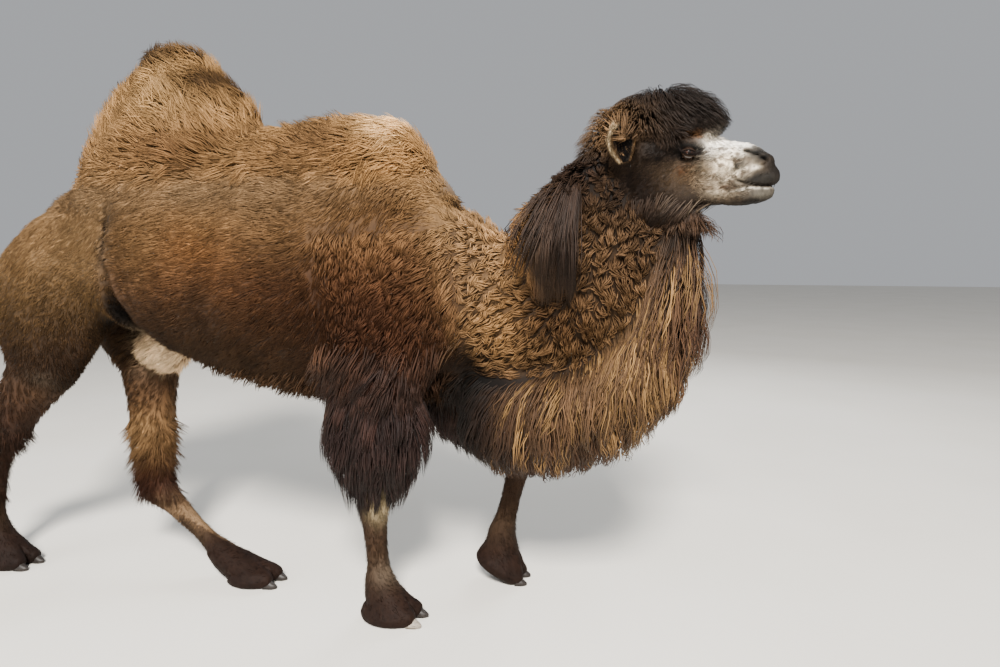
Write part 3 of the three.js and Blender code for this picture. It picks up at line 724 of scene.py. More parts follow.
def joinEars(mesh):
    mesh.calc_loop_triangles()
    allPoints, allTriangles, tones = [pointsOf(mesh)], [trianglesOf(mesh)], []
    for side in (-1, 1):
        shell, quads, tone = earShell(earShape, side)
        offset = sum(len(p) for p in allPoints)
        allPoints.append(shell)
        allTriangles.append(np.concatenate([quads[:, [0, 1, 2]], quads[:, [0, 2, 3]]]) + offset)
        tones.append(tone)
    joined = meshFrom("skin", np.concatenate(allPoints), triangles=np.concatenate(allTriangles))
    return joined, np.concatenate(tones)


skinMesh, earTones = joinEars(skinMesh)
print("head: shaped,", len(skinMesh.vertices), "points in the skin")

# First a tone for each kind of part by height above the floor, then soft patches over them.
toneByHeight = {
    "hump": [(1450, "#8f6a43"), (1650, "#a57c50"), (1850, "#b48a59"), (2150, "#9a7346")],
    "trunk": [(800, "#513c2a"), (1000, "#4a3624"), (1130, "#4f3927"), (1250, "#755338"), (1400, "#96714b"),
              (1600, "#b08d66")],
    "shoulder": [(800, "#2f1f17"), (1000, "#41291b"), (1200, "#563824"), (1400, "#755438")],
    "thigh": [(700, "#33241a"), (950, "#4a3626"), (1150, "#6e5436"), (1280, "#8f6f49"), (1420, "#b58f63")],
    "neck": [(850, "#70543a"), (1050, "#8a6a48"), (1250, "#7b5d42"), (1450, "#624c38"), (1650, "#47362a")],
    "throat": [(500, "#4f3422"), (800, "#70523a"), (1100, "#7f603f"), (1400, "#5e4833"), (1500, "#33261d")],
    "nape": [(1150, "#31241f"), (1650, "#31241e")],
    "topknot": [(1600, "#221813"), (1800, "#241a14")],
    "muff": [(400, "#241814"), (900, "#301d19")],
    "tail": [(1000, "#4a3422"), (1400, "#7a5837")],
    "tail_tuft": [(700, "#2a1f19"), (1100, "#33261d")],
    "sheath": [(800, "#c4a37e"), (1050, "#a5876a")],
    "forearm": [(400, "#33231b"), (900, "#3c2820")],
    "gaskin": [(400, "#4a2c1c"), (600, "#6b4a2e"), (780, "#614630"), (950, "#3c2a1d")],
    "cannon": [(150, "#57432f"), (400, "#4a3426")],
    "foot": [(0, "#251711"), (120, "#2f1d14"), (250, "#4d3b2a")],
    "head": [(1480, "#54443a"), (1620, "#5f4e3d"), (1700, "#45352a")],
    "lower_jaw": [(1480, "#42352a"), (1560, "#65564a")],
    "cheeks": [(1450, "#2f231b"), (1600, "#433326")],
    "ear": [(1600, "#6d523a"), (1750, "#8b6c4d")],
}
# at and reach are forward and up, in millimetres from under the elbow or from between the eyes.
bodyPatches = {
    "golden front of the hump": dict(at=(60, 1680), reach=(190, 110), tone="#c8965e", amount=0.75),
    "pale top of the front hump": dict(at=(45, 1785), reach=(140, 58), tone="#ebbd82", amount=0.9, hard=1.2),
    "pale neck root": dict(at=(300, 1540), reach=(190, 150), tone="#cda26e", amount=0.8),
    "pale shoulder band": dict(at=(420, 1330), reach=(130, 190), tone="#d6a671", amount=0.85),
    "pale breast": dict(at=(440, 1110), reach=(90, 130), tone="#b58856", amount=0.7),
    "brown front hump": dict(at=(-190, 1690), reach=(150, 90), tone="#7d5b3c", amount=0.5),
    "dark crest": dict(at=(-905, 2066), reach=(175, 62), tone="#36271c", amount=0.9, hard=1.2),
    "gold hump side": dict(at=(-800, 1900), reach=(150, 140), tone="#cba26c", amount=0.6),
    # the clump's own dark brown, with the shadow under it painted in
    "dark clump on the hump, with its painted shadow": dict(at=(-672, 1918), reach=(88, 80), tone="#2b1d13", amount=0.9, hard=1.3),
    "shaded hump root": dict(at=(-740, 1690), reach=(190, 60), tone="#6b4a30", amount=0.65),
    "light rib streak": dict(at=(-560, 1430), reach=(230, 70), tone="#b98a58", amount=0.6),
    "gold flank": dict(at=(-560, 1340), reach=(200, 100), tone="#a87040", amount=0.55, side=-1),
    "pale haunch edge of the flank": dict(at=(-840, 1380), reach=(110, 120), tone="#ab8053", amount=0.6),
    "brown flank": dict(at=(-300, 1240), reach=(330, 80), tone="#6f4529", amount=0.4),
    "dark flank before the shoulder": dict(at=(-240, 1190), reach=(270, 220), tone="#4d321f", amount=0.7),
    "brown upper shoulder": dict(at=(10, 1480), reach=(180, 120), tone="#74502f", amount=0.65),
    "dark curls": dict(at=(740, 1330), reach=(120, 230), tone="#6c5239", amount=0.65, kinds=("neck", "nape")),
    "dark shoulder": dict(at=(60, 1130), reach=(250, 150), tone="#40271a", amount=0.65),
    "dark elbow": dict(at=(20, 930), reach=(260, 110), tone="#33201a", amount=0.7),
    "pale rump": dict(at=(-1450, 1440), reach=(190, 170), tone="#b48c60", amount=0.75),
    "grey fold": dict(at=(-1000, 1330), reach=(45, 200), tone="#86705a", amount=0.55),
    # painted shade: the groove before the haunch is darkened along its length
    "crease before the haunch": dict(at=(-1019, 1390), reach=(19, 95), tone="#150d08", amount=0.95, hard=1.3),
    # painted shade: the hollow of the groin is laid on near black, as if no light reached it
    "painted shade in the groin": dict(at=(-1110, 1120), reach=(150, 160), tone="#080504", amount=1, hard=2, within=215),
    # painted shade: the recess behind the flank's fold is laid on near black
    "painted shade behind the flank's fold": dict(at=(-1030, 1122), reach=(44, 100), tone="#080504", amount=0.97,
         hard=2, kinds=("thigh", "trunk", "gaskin")),
    "stifle scuff": dict(at=(-1375, 850), reach=(45, 40), tone="#7d6f5f", amount=0.35),
    "pale sheath": dict(at=(-1030, 935), reach=(165, 115), tone="#dfc19b", amount=1, hard=2, within=210,
         kinds=("sheath", "thigh", "trunk", "gaskin")),
    "pale skin behind the sheath": dict(at=(-1235, 890), reach=(60, 80), tone="#a5866a", amount=0.9, hard=1.5,
         within=140, kinds=("thigh", "gaskin")),
    "dark left of the throat": dict(at=(390, 840), reach=(175, 225), tone="#2f1d13", amount=0.95,
         kinds=("throat",)),
    "red front of the throat": dict(at=(1075, 1130), reach=(150, 370), tone="#4f3020", amount=0.9,
         kinds=("throat",)),
    "red underside of the throat": dict(at=(720, 560), reach=(380, 150), tone="#452a1c", amount=0.85,
         kinds=("throat",)),
    "brown neck foot": dict(at=(620, 1110), reach=(165, 150), tone="#5b4028", amount=0.85,
         kinds=("neck", "throat")),
    "red nape locks": dict(at=(575, 1290), reach=(28, 120), tone="#5d4030", amount=0.8, kinds=("nape",)),
    "golden foot of the nape": dict(at=(430, 1380), reach=(125, 320), tone="#b08252", amount=1, hard=2.2,
         kinds=("nape",)),
    "dark behind the jaw": dict(at=(815, 1530), reach=(80, 80), tone="#2b1f18", amount=0.8),
    "near hind leg": dict(at=(-1620, 520), reach=(230, 330), tone="#3f291d", amount=0.95, hard=2, side=-1,
         kinds=("gaskin", "cannon", "thigh")),
    "red hock": dict(at=(-1190, 350), reach=(110, 100), tone="#4a281a", amount=0.8),
    "far gaskin gold": dict(at=(-1235, 575), reach=(130, 115), tone="#bb9262", amount=0.8, side=1,
         kinds=("gaskin",)),
    "pale far cannon": dict(at=(-950, 200), reach=(150, 100), tone="#b08d68", amount=0.9, side=1,
         kinds=("cannon", "foot")),
    "pale shin": dict(at=(-5, 180), reach=(45, 60), tone="#8d7a66", amount=0.6, side=-1),
    "knee callus": dict(at=(5, 430), reach=(62, 46), tone="#c9b48c", amount=0.85, side=-1,
         kinds=("cannon", "forearm", "muff")),
    "shaded breast": dict(at=(300, 870), reach=(105, 160), tone="#0b0705", amount=0.95, hard=1.4,
         kinds=("shoulder", "throat", "neck", "trunk")),
    "far knee callus": dict(at=(470, 560), reach=(75, 60), tone="#b9a88c", amount=0.9, side=1,
         kinds=("cannon", "forearm")),
}
headPatches = {
    "dark jaw rear": dict(at=(-110, -110), reach=(75, 90), tone="#3a2a20", amount=0.7),
    "grey cheek": dict(at=(-40, -60), reach=(60, 50), tone="#6c5845", amount=0.6),
    "dark temple": dict(at=(-100, 18), reach=(66, 40), tone="#1d140f", amount=1, hard=1.5),
    "dark under the ear": dict(at=(-165, -50), reach=(70, 70), tone="#2a1e17", amount=0.9),
    "dark brow fold": dict(at=(-10, 32), reach=(70, 12), tone="#1c130f", amount=0.9),
    "tan below the eye": dict(at=(34, -50), reach=(50, 30), tone="#a58560", amount=0.8),
    "pale before the jaw": dict(at=(62, -92), reach=(44, 36), tone="#a08a70", amount=0.8),
    "cream bridge": dict(at=(120, 32), reach=(100, 46), tone="#fffaf0", amount=1.0, hard=1.6),
    "cream face": dict(at=(125, -40), reach=(76, 58), tone="#ecdcc2", amount=0.9, hard=1.3),
    "cream jaw": dict(at=(110, -112), reach=(55, 30), tone="#d2c0a4", amount=0.85),
    "brown brow": dict(at=(14, 58), reach=(42, 23), tone="#80562f", amount=0.85, hard=1.4),
    "red under the eye": dict(at=(-6, -38), reach=(18, 10), tone="#a5623a", amount=0.6, hard=1.5),
    "pale lock by the eye": dict(at=(60, 52), reach=(20, 26), tone="#efe3cd", amount=0.8),
    "dark eye rim": dict(at=(2, 6), reach=(56, 26), tone="#120c0a", amount=1.0, hard=1.7),
    "pale under lid": dict(at=(2, -18), reach=(22, 5), tone="#8d7a68", amount=0.7),
    "grey spot behind the nose": dict(at=(148, -30), reach=(17, 22), tone="#5d574f", amount=0.9, hard=1.4),
    "grey nose": dict(at=(212, 0), reach=(46, 28), tone="#332f2b", amount=0.85, hard=1.5),
    "grey nose front": dict(at=(256, -48), reach=(38, 46), tone="#2a2623", amount=0.92, hard=1.6),
    # painted shade: the nostril's slit is laid on near black down its groove
    "painted shade in the nostril slit, rear": dict(at=(174, 7), reach=(15, 6), tone="#0b0908", amount=1, hard=1.5),
    "painted shade in the nostril slit, middle": dict(at=(196, -1), reach=(15, 6), tone="#0b0908", amount=1, hard=1.5),
    "painted shade in the nostril slit, front": dict(at=(218, -17), reach=(15, 6), tone="#0b0908", amount=1, hard=1.5),
    "pale patch under the nostril": dict(at=(188, -47), reach=(27, 10), tone="#d5cab8", amount=0.85,
         hard=1.5),
    "grey upper lip": dict(at=(215, -79), reach=(62, 19), tone="#3f3b36", amount=1.0, hard=2.2),
    "pale lower lip edge": dict(at=(200, -107), reach=(58, 5), tone="#d8cfbf", amount=0.9, hard=1.5),
    "grey lower lip": dict(at=(222, -124), reach=(58, 18), tone="#857e71", amount=0.9, hard=1.6),
    "dark under lip": dict(at=(203, -146), reach=(48, 12), tone="#241f1c", amount=0.95, hard=1.6),
    # painted shade: a dark line laid along the mouth's groove
    "painted shade in the mouth line": dict(at=(205, -98), reach=(75, 3), tone="#171311", amount=0.9),
    "brown jaw line": dict(at=(20, -158), reach=(130, 26), tone="#33251c", amount=0.9),
    "light back of the crown": dict(at=(-225, 100), reach=(85, 80), tone="#93704c", amount=0.9),
}
coatGain = 0.5  # all but the palest tones are laid on at half strength, to suit the light of the studio
fleckLook = dict(brown="#6b523c", brownShares=(0.6, 0.3), grey="#4f4a44", greyShare=0.45)  # grey on the nose
toneWander = dict(height=45, heightSize=0.35, body=30, bodySize=0.16, head=4, headSize=0.03)
speckle = dict(amount=0.1, coat=(0.018, 0.05), head=0.012, headShare=1.2)
groinShade, groinReach = 0.9, 0.04  # how much lightness is lost in the groin's hollow, and how near to it


def deepTone(code):
    return hexToLinear(code) * coatGain


def patchOver(colour, flat, across, kind, patch):  # a soft-edged patch of tone, laid on from the side
    off = np.linalg.norm((flat - np.array(patch["at"])) / np.array(patch["reach"]), axis=1)
    share = np.exp(-np.maximum(off, 0) ** (2 * patch.get("hard", 1.0)) * 1.2) * patch["amount"]
    if "side" in patch:
        share = share * (across * patch["side"] > 0)
    if "within" in patch:
        inner, outer = patch["within"] - 60, patch["within"] + 25
        share = share * (1 - smoothStep(inner, outer, np.abs(across)))
    if "kinds" in patch:
        share = share * kindIn(patch["kinds"], kind)
    return colour + share[:, None] * (hexToLinear(patch["tone"]) - colour)


def markings(points, kind, links):  # the tone of skin and coat at every point of the skin
    body, head = inBody(points), inHead(points)
    colour = np.zeros((len(points), 3))
    for name, stops in toneByHeight.items():
        mine = kind == kinds.index(name)
        tones = np.array([hexToLinear(t) for _, t in stops])
        height = body[mine, 2] + toneWander["height"] * ripple(points[mine], toneWander["heightSize"], 3)
        levels = [h for h, _ in stops]
        colour[mine] = np.stack([np.interp(height, levels, tones[:, c]) for c in range(3)], axis=1)
    colour = spread(colour, links, 22)
    wobble = np.stack([ripple(points, toneWander["bodySize"], seed) for seed in (11, 12)], axis=1)
    for patch in bodyPatches.values():
        moved = body[:, [0, 2]] + toneWander["body"] * wobble
        colour = patchOver(colour, moved, body[:, 1], kind, patch)
    nearHead = kindIn(("head", "lower_jaw", "cheeks", "topknot"), kind)
    fine = np.stack([ripple(points, toneWander["headSize"], seed) for seed in (21, 22)], axis=1)
    for patch in headPatches.values():
        moved = head[:, [0, 2]] + toneWander["head"] * fine
        painted = patchOver(colour, moved, head[:, 1], kind, patch)
        colour = np.where(nearHead[:, None], painted, colour)
    small, large = fleckLook["brownShares"]
    flecks = smoothStep(0.0, 0.9, ripple(points, 0.011, 33, 16)) * small
    flecks = flecks + smoothStep(0.2, 1.2, ripple(points, 0.03, 34)) * large
    flecks = flecks * nearHead * smoothStep(60, 10, head[:, 2]) * smoothStep(215, 150, head[:, 0])
    colour += flecks[:, None] * np.minimum(hexToLinear(fleckLook["brown"]) - colour, 0)  # they only darken
    greys = smoothStep(0.1, 1.0, ripple(points, 0.01, 35, 16)) * nearHead * smoothStep(120, 190, head[:, 0])
    greys = greys * fleckLook["greyShare"]
    colour += greys[:, None] * np.minimum(hexToLinear(fleckLook["grey"]) - colour, 0)
    # painted shade: skin and coat near the groin's hollow are darkened
    fromGroin = np.array([groinTree.find_nearest(p, groinReach)[3] is not None for p in points.tolist()])
    colour *= (1 - groinShade * spread(fromGroin.astype(float), links, 3))[:, None]
    specks = ripple(points, speckle["coat"][0], 31) + ripple(points, speckle["coat"][1], 32)
    specks = specks + speckle["headShare"] * nearHead * ripple(points, speckle["head"], 36, 16)
    gain = coatGain + (1 - coatGain) * smoothStep(0.3, 0.55, colour.mean(axis=1))
    return colour * (gain * (1 + speckle["amount"] * specks))[:, None]


points = pointsOf(skinMesh)
normals = normalsOf(skinMesh)
links = linksOf(skinMesh)
distance, kind = partsAt(points)
onEars = np.arange(len(points)) >= len(points) - len(earTones)
kind[onEars] = kinds.index("ear")
# The coat's depth is the way from skin to solids, or little more than its table says where that is far.
deepest = perKind(coatDepth)[kind] * 1.5 * mm + 0.003
depth = spread(np.clip(-distance, 0.002, deepest), links, 4)
depth[onEars] = coatDepth["ear"] * mm
tint = markings(points, kind, links)
tint[onEars] = earTones * coatGain
# Skin is seen between the tufts, in their shade: how light it looks beside the coat.
skinLight = {"hump": 0.45, "trunk": 0.5, "thigh": 0.5, "shoulder": 0.45, "neck": 0.45, "throat": 0.35,
             "nape": 0.4, "topknot": 0.5, "muff": 0.5, "tail": 0.45, "tail_tuft": 0.45, "head": 0.95,
             "lower_jaw": 0.95, "ear": 0.9}
# Bare dark skin would catch more light than dark hair, which shades itself.
darkCoat = kindIn(("head", "lower_jaw", "cheeks", "topknot", "neck", "nape", "throat"), kind)
darkCoat = darkCoat * (1 - smoothStep(0.04, 0.22, tint.mean(axis=1)))
shaded = spread(perKind(skinLight, 0.8)[kind] * (1 - 0.6 * darkCoat), links, 3)
setColour(skinMesh, "coatTint", tint * shaded[:, None])
skinTriangles = trianglesOf(skinMesh)
skinTree = BVHTree.FromPolygons(points.tolist(), skinTriangles.tolist())
print("skin: marked")

# The way hair points on each kind of part: forward, outward and up.
lieOf = {
    "hump": (-0.5, 0.1, 0.75), "trunk": (-0.85, 0, -0.4), "sheath": (-0.2, 0, -1), "thigh": (-0.3, 0, -1),
    "shoulder": (-0.45, 0, -0.85), "neck": (-0.15, 0, -0.9), "nape": (0, 0.3, -1), "throat": (-0.1, 0, -1),
    "tail": (0, 0, -1), "tail_tuft": (0, 0.15, -1), "topknot": (0.3, 0.6, -0.6), "muff": (-0.05, 0.1, -1),
    "forearm": (0, 0, -1), "gaskin": (-0.2, 0, -1), "cannon": (0, 0, -1), "foot": (0.5, 0, -0.6),
    "head": (-0.85, 0, -0.35), "lower_jaw": (-0.9, 0, -0.3), "cheeks": (-0.7, 0, -0.7),
    "ear": (-0.2, 0.1, 0.9),
}
swirl = dict(size=0.3, turn=0.55)  # how far apart whorls lie, and how hard they turn the coat


def layOfCoat():  # hair's direction at every point of the skin
    body, head = inBody(points), inHead(points)
    lie = np.array([lieOf[k] for k in kinds])[kind]
    side = np.where(head[:, 0] > -500, np.sign(head[:, 1]), np.sign(body[:, 1]))
    lie[:, 1] *= side
    crown = np.array([-60, 0, 150])  # hair of the topknot falls away from its crown
    onTop = kindIn(["topknot"], kind)
    away = unit(head - crown) * np.array([0.9, 1.2, 1]) + np.array([0.4, 0, -0.8])
    behind = np.stack([np.full(len(side), -0.5), 0.5 * side, np.full(len(side), -0.8)], axis=1)
    share = smoothStep(-120, -190, head[:, 0])[:, None]
    lie[onTop] = (away * (1 - share) + behind * share)[onTop]
    frontHump = kindIn(["hump"], kind) & (body[:, 0] > -420)
    lie[frontHump] = (-0.75, 0, -0.25)  # swept back
    low = smoothStep(1750, 1600, body[:, 2])[:, None]
    rear = kindIn(["hump"], kind) & ~frontHump  # up at the crest, back at the foot
    lie[rear] = (lie * (1 - low) + np.array([-0.9, 0, -0.1]) * low)[rear]
    neckRoot = kindIn(["neck"], kind) & (body[:, 0] < 620)
    lie[neckRoot] = (-0.75, 0, -0.45)
    crest = kindIn(["nape"], kind) & (np.abs(head[:, 1]) < 60)  # parted down the middle
    lie[crest] = np.stack([np.zeros(len(side)), side, np.full(len(side), -0.3)], axis=1)[crest]
    lie = spread(unit(lie), links, 10)
    turn = ripple(points, swirl["size"], 41) * swirl["turn"]
    tangent = unit(lie - normals * (lie * normals).sum(axis=1)[:, None])
    return tangent * np.cos(turn)[:, None] + np.cross(normals, tangent) * np.sin(turn)[:, None]


lie = layOfCoat()
print("coat: laid out")


def scatter(faces, count, rng, weight=None):  # roots spread evenly over some triangles of the skin
    corners = points[skinTriangles[faces]]
    area = np.linalg.norm(np.cross(corners[:, 1] - corners[:, 0], corners[:, 2] - corners[:, 0]), axis=1)
    area = area if weight is None else area * weight
    total = np.cumsum(area)
    picks = np.searchsorted(total, (np.arange(count) + rng.random(count)) / count * total[-1])
    a, b = rng.random((2, count))
    a, b = np.where(a + b > 1, 1 - a, a), np.where(a + b > 1, 1 - b, b)
    share = np.stack([1 - a - b, a, b], axis=1)
    owners = skinTriangles[faces[np.minimum(picks, len(faces) - 1)]]
    return lambda values: (values[owners] * share.reshape(count, 3, *[1] * (values.ndim - 1))).sum(axis=1)


rootDepth = 0.004  # how far a tuft is set into the skin


def march(root, normal, heading, length, height, look):
    # A tuft's path: it leaves the skin, is drawn down by its weight, and never dips into the skin.
    rings = look["rings"]
    path = [root - normal * rootDepth]
    facing = [normal]
    place, way = root, heading
    step = (length / rings)[:, None]
    for k in range(1, rings + 1):
        share = k / rings
        way = unit(way - upward * look.get("weight", 0) / rings)
        place = place + way * step
        foot, skinNormal, _ = nearest(skinTree, place)
        above = ((place - foot) * skinNormal).sum(axis=1)
        wanted = height * look["rise"](share)
        low = np.maximum(wanted - above, 0)
        high = np.maximum(above - wanted, 0) * look.get("cling", 1.0)
        place = place + skinNormal * (low - high)[:, None]
        if look.get("weight", 0):
            way = unit(place - path[-1])
        else:
            way = unit(way - skinNormal * (way * skinNormal).sum(axis=1)[:, None])
        path.append(place)
        facing.append(unit(facing[-1] * 0.5 + skinNormal))
    return np.stack(path, axis=1), np.stack(facing, axis=1)


def gatherTips(path, look, rng):  # neighbouring tufts lean together into locks
    count = len(path)
    chosen = rng.choice(count, max(4, int(count / look["perLock"])), replace=False)
    tree = KDTree(len(chosen))
    for i, c in enumerate(chosen):
        tree.insert(path[c, 0], i)
    tree.balance()
    lock = np.array([tree.find(p)[1] for p in path[:, 0].tolist()])
    share = np.linspace(0, 1, path.shape[1]) ** 1.2
    pull = look["gather"] * share[None, :, None]
    return path * (1 - pull) + path[chosen[lock]] * pull, lock


def strandPiece(name, path, facing, wide, thick, tone, spot, material):
    # Every path becomes a solid three-sided blade that tapers to its tip.
    count, rings = len(path), path.shape[1] - 1
    tangent = unit(np.gradient(path, axis=1))
    across = unit(np.cross(facing, tangent))
    ridge = np.cross(tangent, across)[:, :-1]
    rows, across = path[:, :-1], across[:, :-1]
    ring = np.stack([rows + across * wide[..., None], rows + ridge * (wide * thick)[..., None],
                     rows - across * wide[..., None]], axis=2)
    vertices = np.concatenate([ring.reshape(count, -1, 3), path[:, -1:]], axis=1)
    quads = [(3 * r + k, 3 * r + (k + 1) % 3, 3 * r + 3 + (k + 1) % 3, 3 * r + 3 + k)
             for r in range(rings - 1) for k in range(3)]
    last = 3 * (rings - 1)
    triangles = [(last + k, last + (k + 1) % 3, last + 3) for k in range(3)] + [(2, 1, 0)]
    offsets = (np.arange(count) * (3 * rings + 1))[:, None, None]
    quadFaces = (np.array(quads, int).reshape(-1, 4)[None] + offsets).reshape(-1, 4)
    triangleFaces = (np.array(triangles)[None] + offsets).reshape(-1, 3)
    mesh = meshFrom(name, vertices.reshape(-1, 3), quadFaces, triangleFaces)
    vertexTone = np.concatenate([np.repeat(tone[:, :-1], 3, axis=1), tone[:, -1:]], axis=1)
    setColour(mesh, "coatTint", vertexTone.reshape(-1, 3))
    strand = np.array([(k / 2, r / rings) for r in range(rings) for k in range(3)] + [(0.5, 1.0)])
    number = np.repeat(np.arange(count) % 97, len(strand))[:, None]  # moves each tuft's streaks on
    setUV(mesh, "strand", np.tile(strand, (count, 1)) + number * np.array([1.0, 0.37]))
    patch = spot[:, None] + (strand[None] - 0.5) * bakePatch
    setUV(mesh, "OFBake", np.clip(patch.reshape(-1, 2), 0.0005, 0.9995))
    return addObject(name, mesh, material)


bakePatch = 0.003  # size of one tuft on the unwrap
earRoom, shortestByEars = 0.075, 0.024  # hair near an ear stays this far off its middle, and no shorter


def growTufts(name, look, roots, count, rng):
    root, normal, heading = roots(points), unit(roots(normals)), unit(roots(lie))
    colour, coat = roots(tint), roots(depth)
    stray = rng.normal(0, look["stray"], count)[:, None]
    heading = heading * np.cos(stray) + np.cross(normal, heading) * np.sin(stray)
    length = rng.uniform(*look["length"], count)
    if "endsAt" in look:  # long hair that hangs to a level
        fall = (inBody(root)[:, 2] - look["endsAt"]) * mm
        length = length * np.clip(fall, 0.08, 0.6)
    if "trimmedTo" in look:  # or no lower than the outline of the part it grows on
        length = np.minimum(length, look["trimmedTo"](root))
    if look.get("clearsEars", False):
        length = np.minimum(length, np.maximum(awayFromEars(root) - earRoom, shortestByEars))
    patchy = 1 + look.get("patchy", 0.25) * ripple(root, 0.05, look["seed"])
    height = coat * rng.uniform(*look["stand"], count) * patchy
    path, facing = march(root, normal, heading, length, height, look)
    path, lock = gatherTips(path, look, rng)
    rings = look["rings"]
    along = np.linspace(0, 1, rings + 1)
    across = unit(np.cross(facing, unit(np.gradient(path, axis=1))))
    phase = (lock * 2.4 + rng.normal(0, 0.4, count))[:, None]
    if look.get("crimped", False):  # neighbouring locks wave together
        phase = (4 * ripple(root, 0.12, look["seed"]) + rng.normal(0, 0.5, count))[:, None]
    turns = along[None] * look.get("waves", 0) * 2 * math.pi + phase
    wave = look.get("wave", 0)
    swing = np.sin(turns) * wave * along[None] ** 0.6
    lift = np.maximum(np.cos(turns) * 0.5, -0.2) * wave * along[None]
    path = path + across * swing[..., None] + facing * lift[..., None]
    full = np.interp(along[:-1], [0, 0.3, 0.7, 1], look["taper"])
    wide = rng.uniform(0.7, 1.3, count)[:, None] * look["width"] * full[None]
    lockLight = rng.normal(1, look["lockVary"], lock.max() + 1)[lock]
    light = lockLight * rng.normal(1, look["tuftVary"], count) * (1 + 0.12 * ripple(root, 0.09, 50))
    light = np.clip(light, 0.35, 1.9)
    # Down each tuft: the dark root is painted shade among the crowded hairs, and a paler tip is painted
    # light.
    shade = np.interp(along, [0, 0.35, 1], look["shade"])
    tone = colour[:, None] * light[:, None, None] * shade[None, :, None]
    if "streakTone" in look:  # some locks are bleached, most in their middle, but none on dark roots
        bleached = (rng.random(lock.max() + 1) < look["streakShare"])[lock]
        bleached = bleached * smoothStep(0.008, 0.04, colour.mean(axis=1))
        middle = np.interp(along, [0, 0.12, 0.6, 1], [0.1, 1, 0.9, 0.25])
        mix = bleached[:, None, None] * look["streakAmount"] * middle[None, :, None]
        tone = tone * (1 - mix) + deepTone(look["streakTone"]) * light[:, None, None] * mix
    material = hairMaterials[look["hair"]]
    return strandPiece(name, path, facing, wide, look["thick"], tone, look["unwrap"](root), material)


def awayFromEars(root):  # distance from the line up the middle of the nearer ear
    best = np.full(len(root), 1e9)
    for side in (-1, 1):
        mirror = np.array([1, side, 1])
        foot = headAt + np.array(earShape["base"]) * mirror * mm
        way = unit(np.array(earShape["lean"]) * mirror)
        along = np.clip((root - foot) @ way, 0, earShape["long"] * mm)
        best = np.minimum(best, np.linalg.norm(root - foot - along[:, None] * way, axis=1))
    return best


def aboveOutline(*names):  # how far a root stands over the lower edge of some kinds of part, in side view
    body = inBody(points[kindIn(names, kind)])
    edges = np.arange(body[:, 0].min(), body[:, 0].max(), 40)
    lowest = [body[np.abs(body[:, 0] - e) < 40, 2].min() for e in edges]

    def fall(root):
        here = inBody(root)
        spare = np.interp(here[:, 0], [420, 560], [70, 40])
        return np.clip((here[:, 2] - np.interp(here[:, 0], edges, lowest) + spare) * mm, 0.05, 1)
    return fall


def unwrapRound(*axes):  # an unwrap of the skin round one or more straight axes, side by side
    lines = [(underElbow + np.array(a) * mm, underElbow + np.array(b) * mm) for a, b in axes]

    def places(root):
        best, result = np.full(len(root), 1e9), np.zeros((len(root), 2))
        for number, (start, end) in enumerate(lines):
            run = end - start
            share = (root - start) @ run / (run @ run)
            off = root - start - np.clip(share, 0, 1)[:, None] * run
            away = np.linalg.norm(off, axis=1)
            one = unit(np.cross(run, [0.3, 1, 0.2]))
            two = unit(np.cross(run, one))
            angle = np.arctan2(off @ two, off @ one) / (2 * math.pi) + 0.5
            mine = away < best
            spot = np.stack([(number + 0.02 + 0.96 * angle) / len(lines), 0.12 + 0.76 * share], axis=1)
            result[mine], best = spot[mine], np.minimum(away, best)
        return np.clip(result, 0.004, 0.996)
    return places


def liesFlat(share):  # how much of its height a tuft has reached on the way to its tip
    return 0.35 + 0.65 * math.sin(min(share * 1.3, 1) * math.pi / 2)


def standsUp(share):
    return 0.2 + 1.0 * share


def facesOf(*names, keep=None):  # triangles of the skin on some kinds of part
    chosen = kindIn(names, kind[skinTriangles[:, 0]])
    if keep is not None:
        chosen &= keep(points[skinTriangles].mean(axis=1))
    return np.flatnonzero(chosen)


# A coat's dictionary says: on which kinds of part and which of their faces (keep) it grows, how thickly
# (density), how many tufts with how many rings, their length and width in metres, how they lie and
# stand as shares of the coat's depth, how they gather in locks and wave, and how their tone varies.
def growCoat(name, look, replaced=()):
    rng = np.random.default_rng(look["seed"])
    faces = facesOf(*look["on"], keep=look.get("keep"))
    middles = points[skinTriangles[faces]].mean(axis=1)
    weight = look["density"](middles) if look.get("density") else None
    roots = scatter(faces, look["tufts"], rng, weight)
    piece = growTufts(name, look, roots, look["tufts"], rng)
    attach(piece, "root")
    if replaced:
        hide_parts(*replaced)
    print("coat:", name, look["tufts"], "tufts")


hairMaterials = {
    "wool": hairMaterial("camel wool, crimped", hairLooks["wool"]),
    "long": hairMaterial("camel guard hair, long", hairLooks["longHair"]),
    "short": hairMaterial("camel hair, short", hairLooks["shortHair"]),
}
tapers = dict(tuft=(1, 0.9, 0.55, 0.2), strand=(0.8, 1, 0.8, 0.3))

rearHumpWool = dict(on=["hump"], keep=lambda p: inBody(p)[:, 0] < -450, tufts=11600, rings=2,
                    length=(0.06, 0.13), width=0.0026, thick=0.6, taper=tapers["tuft"], rise=standsUp,
                    stand=(0.35, 1.15), cling=0.7, stray=0.4, perLock=16, gather=0.6, waves=0.6, wave=0.005,
                    lockVary=0.17, tuftVary=0.16, shade=(0.45, 0.95, 1.3), hair="wool", slot="coat_tan",
                    seed=1, patchy=0.35, unwrap=unwrapRound([(-900, 0, 1500), (-900, 0, 2150)]))
frontHumpWool = dict(rearHumpWool, keep=lambda p: inBody(p)[:, 0] >= -450, tufts=8500, wave=0.007, seed=2,
                     unwrap=unwrapRound([(-190, 0, 1500), (-190, 0, 1850)]))


def aheadOfShoulder(q):  # the flank's hair meets the shoulder's along a line that leans back
    return q[:, 0] + 0.3 * (q[:, 2] - 1300)


def shoulderShare(p):  # where the shoulder's long hair takes over from the flank's
    q = inBody(p)
    ahead = aheadOfShoulder(q) + 40 * ripple(p, 0.12, 64)
    return smoothStep(-190, 0, ahead) * smoothStep(1560, 1400, q[:, 2])


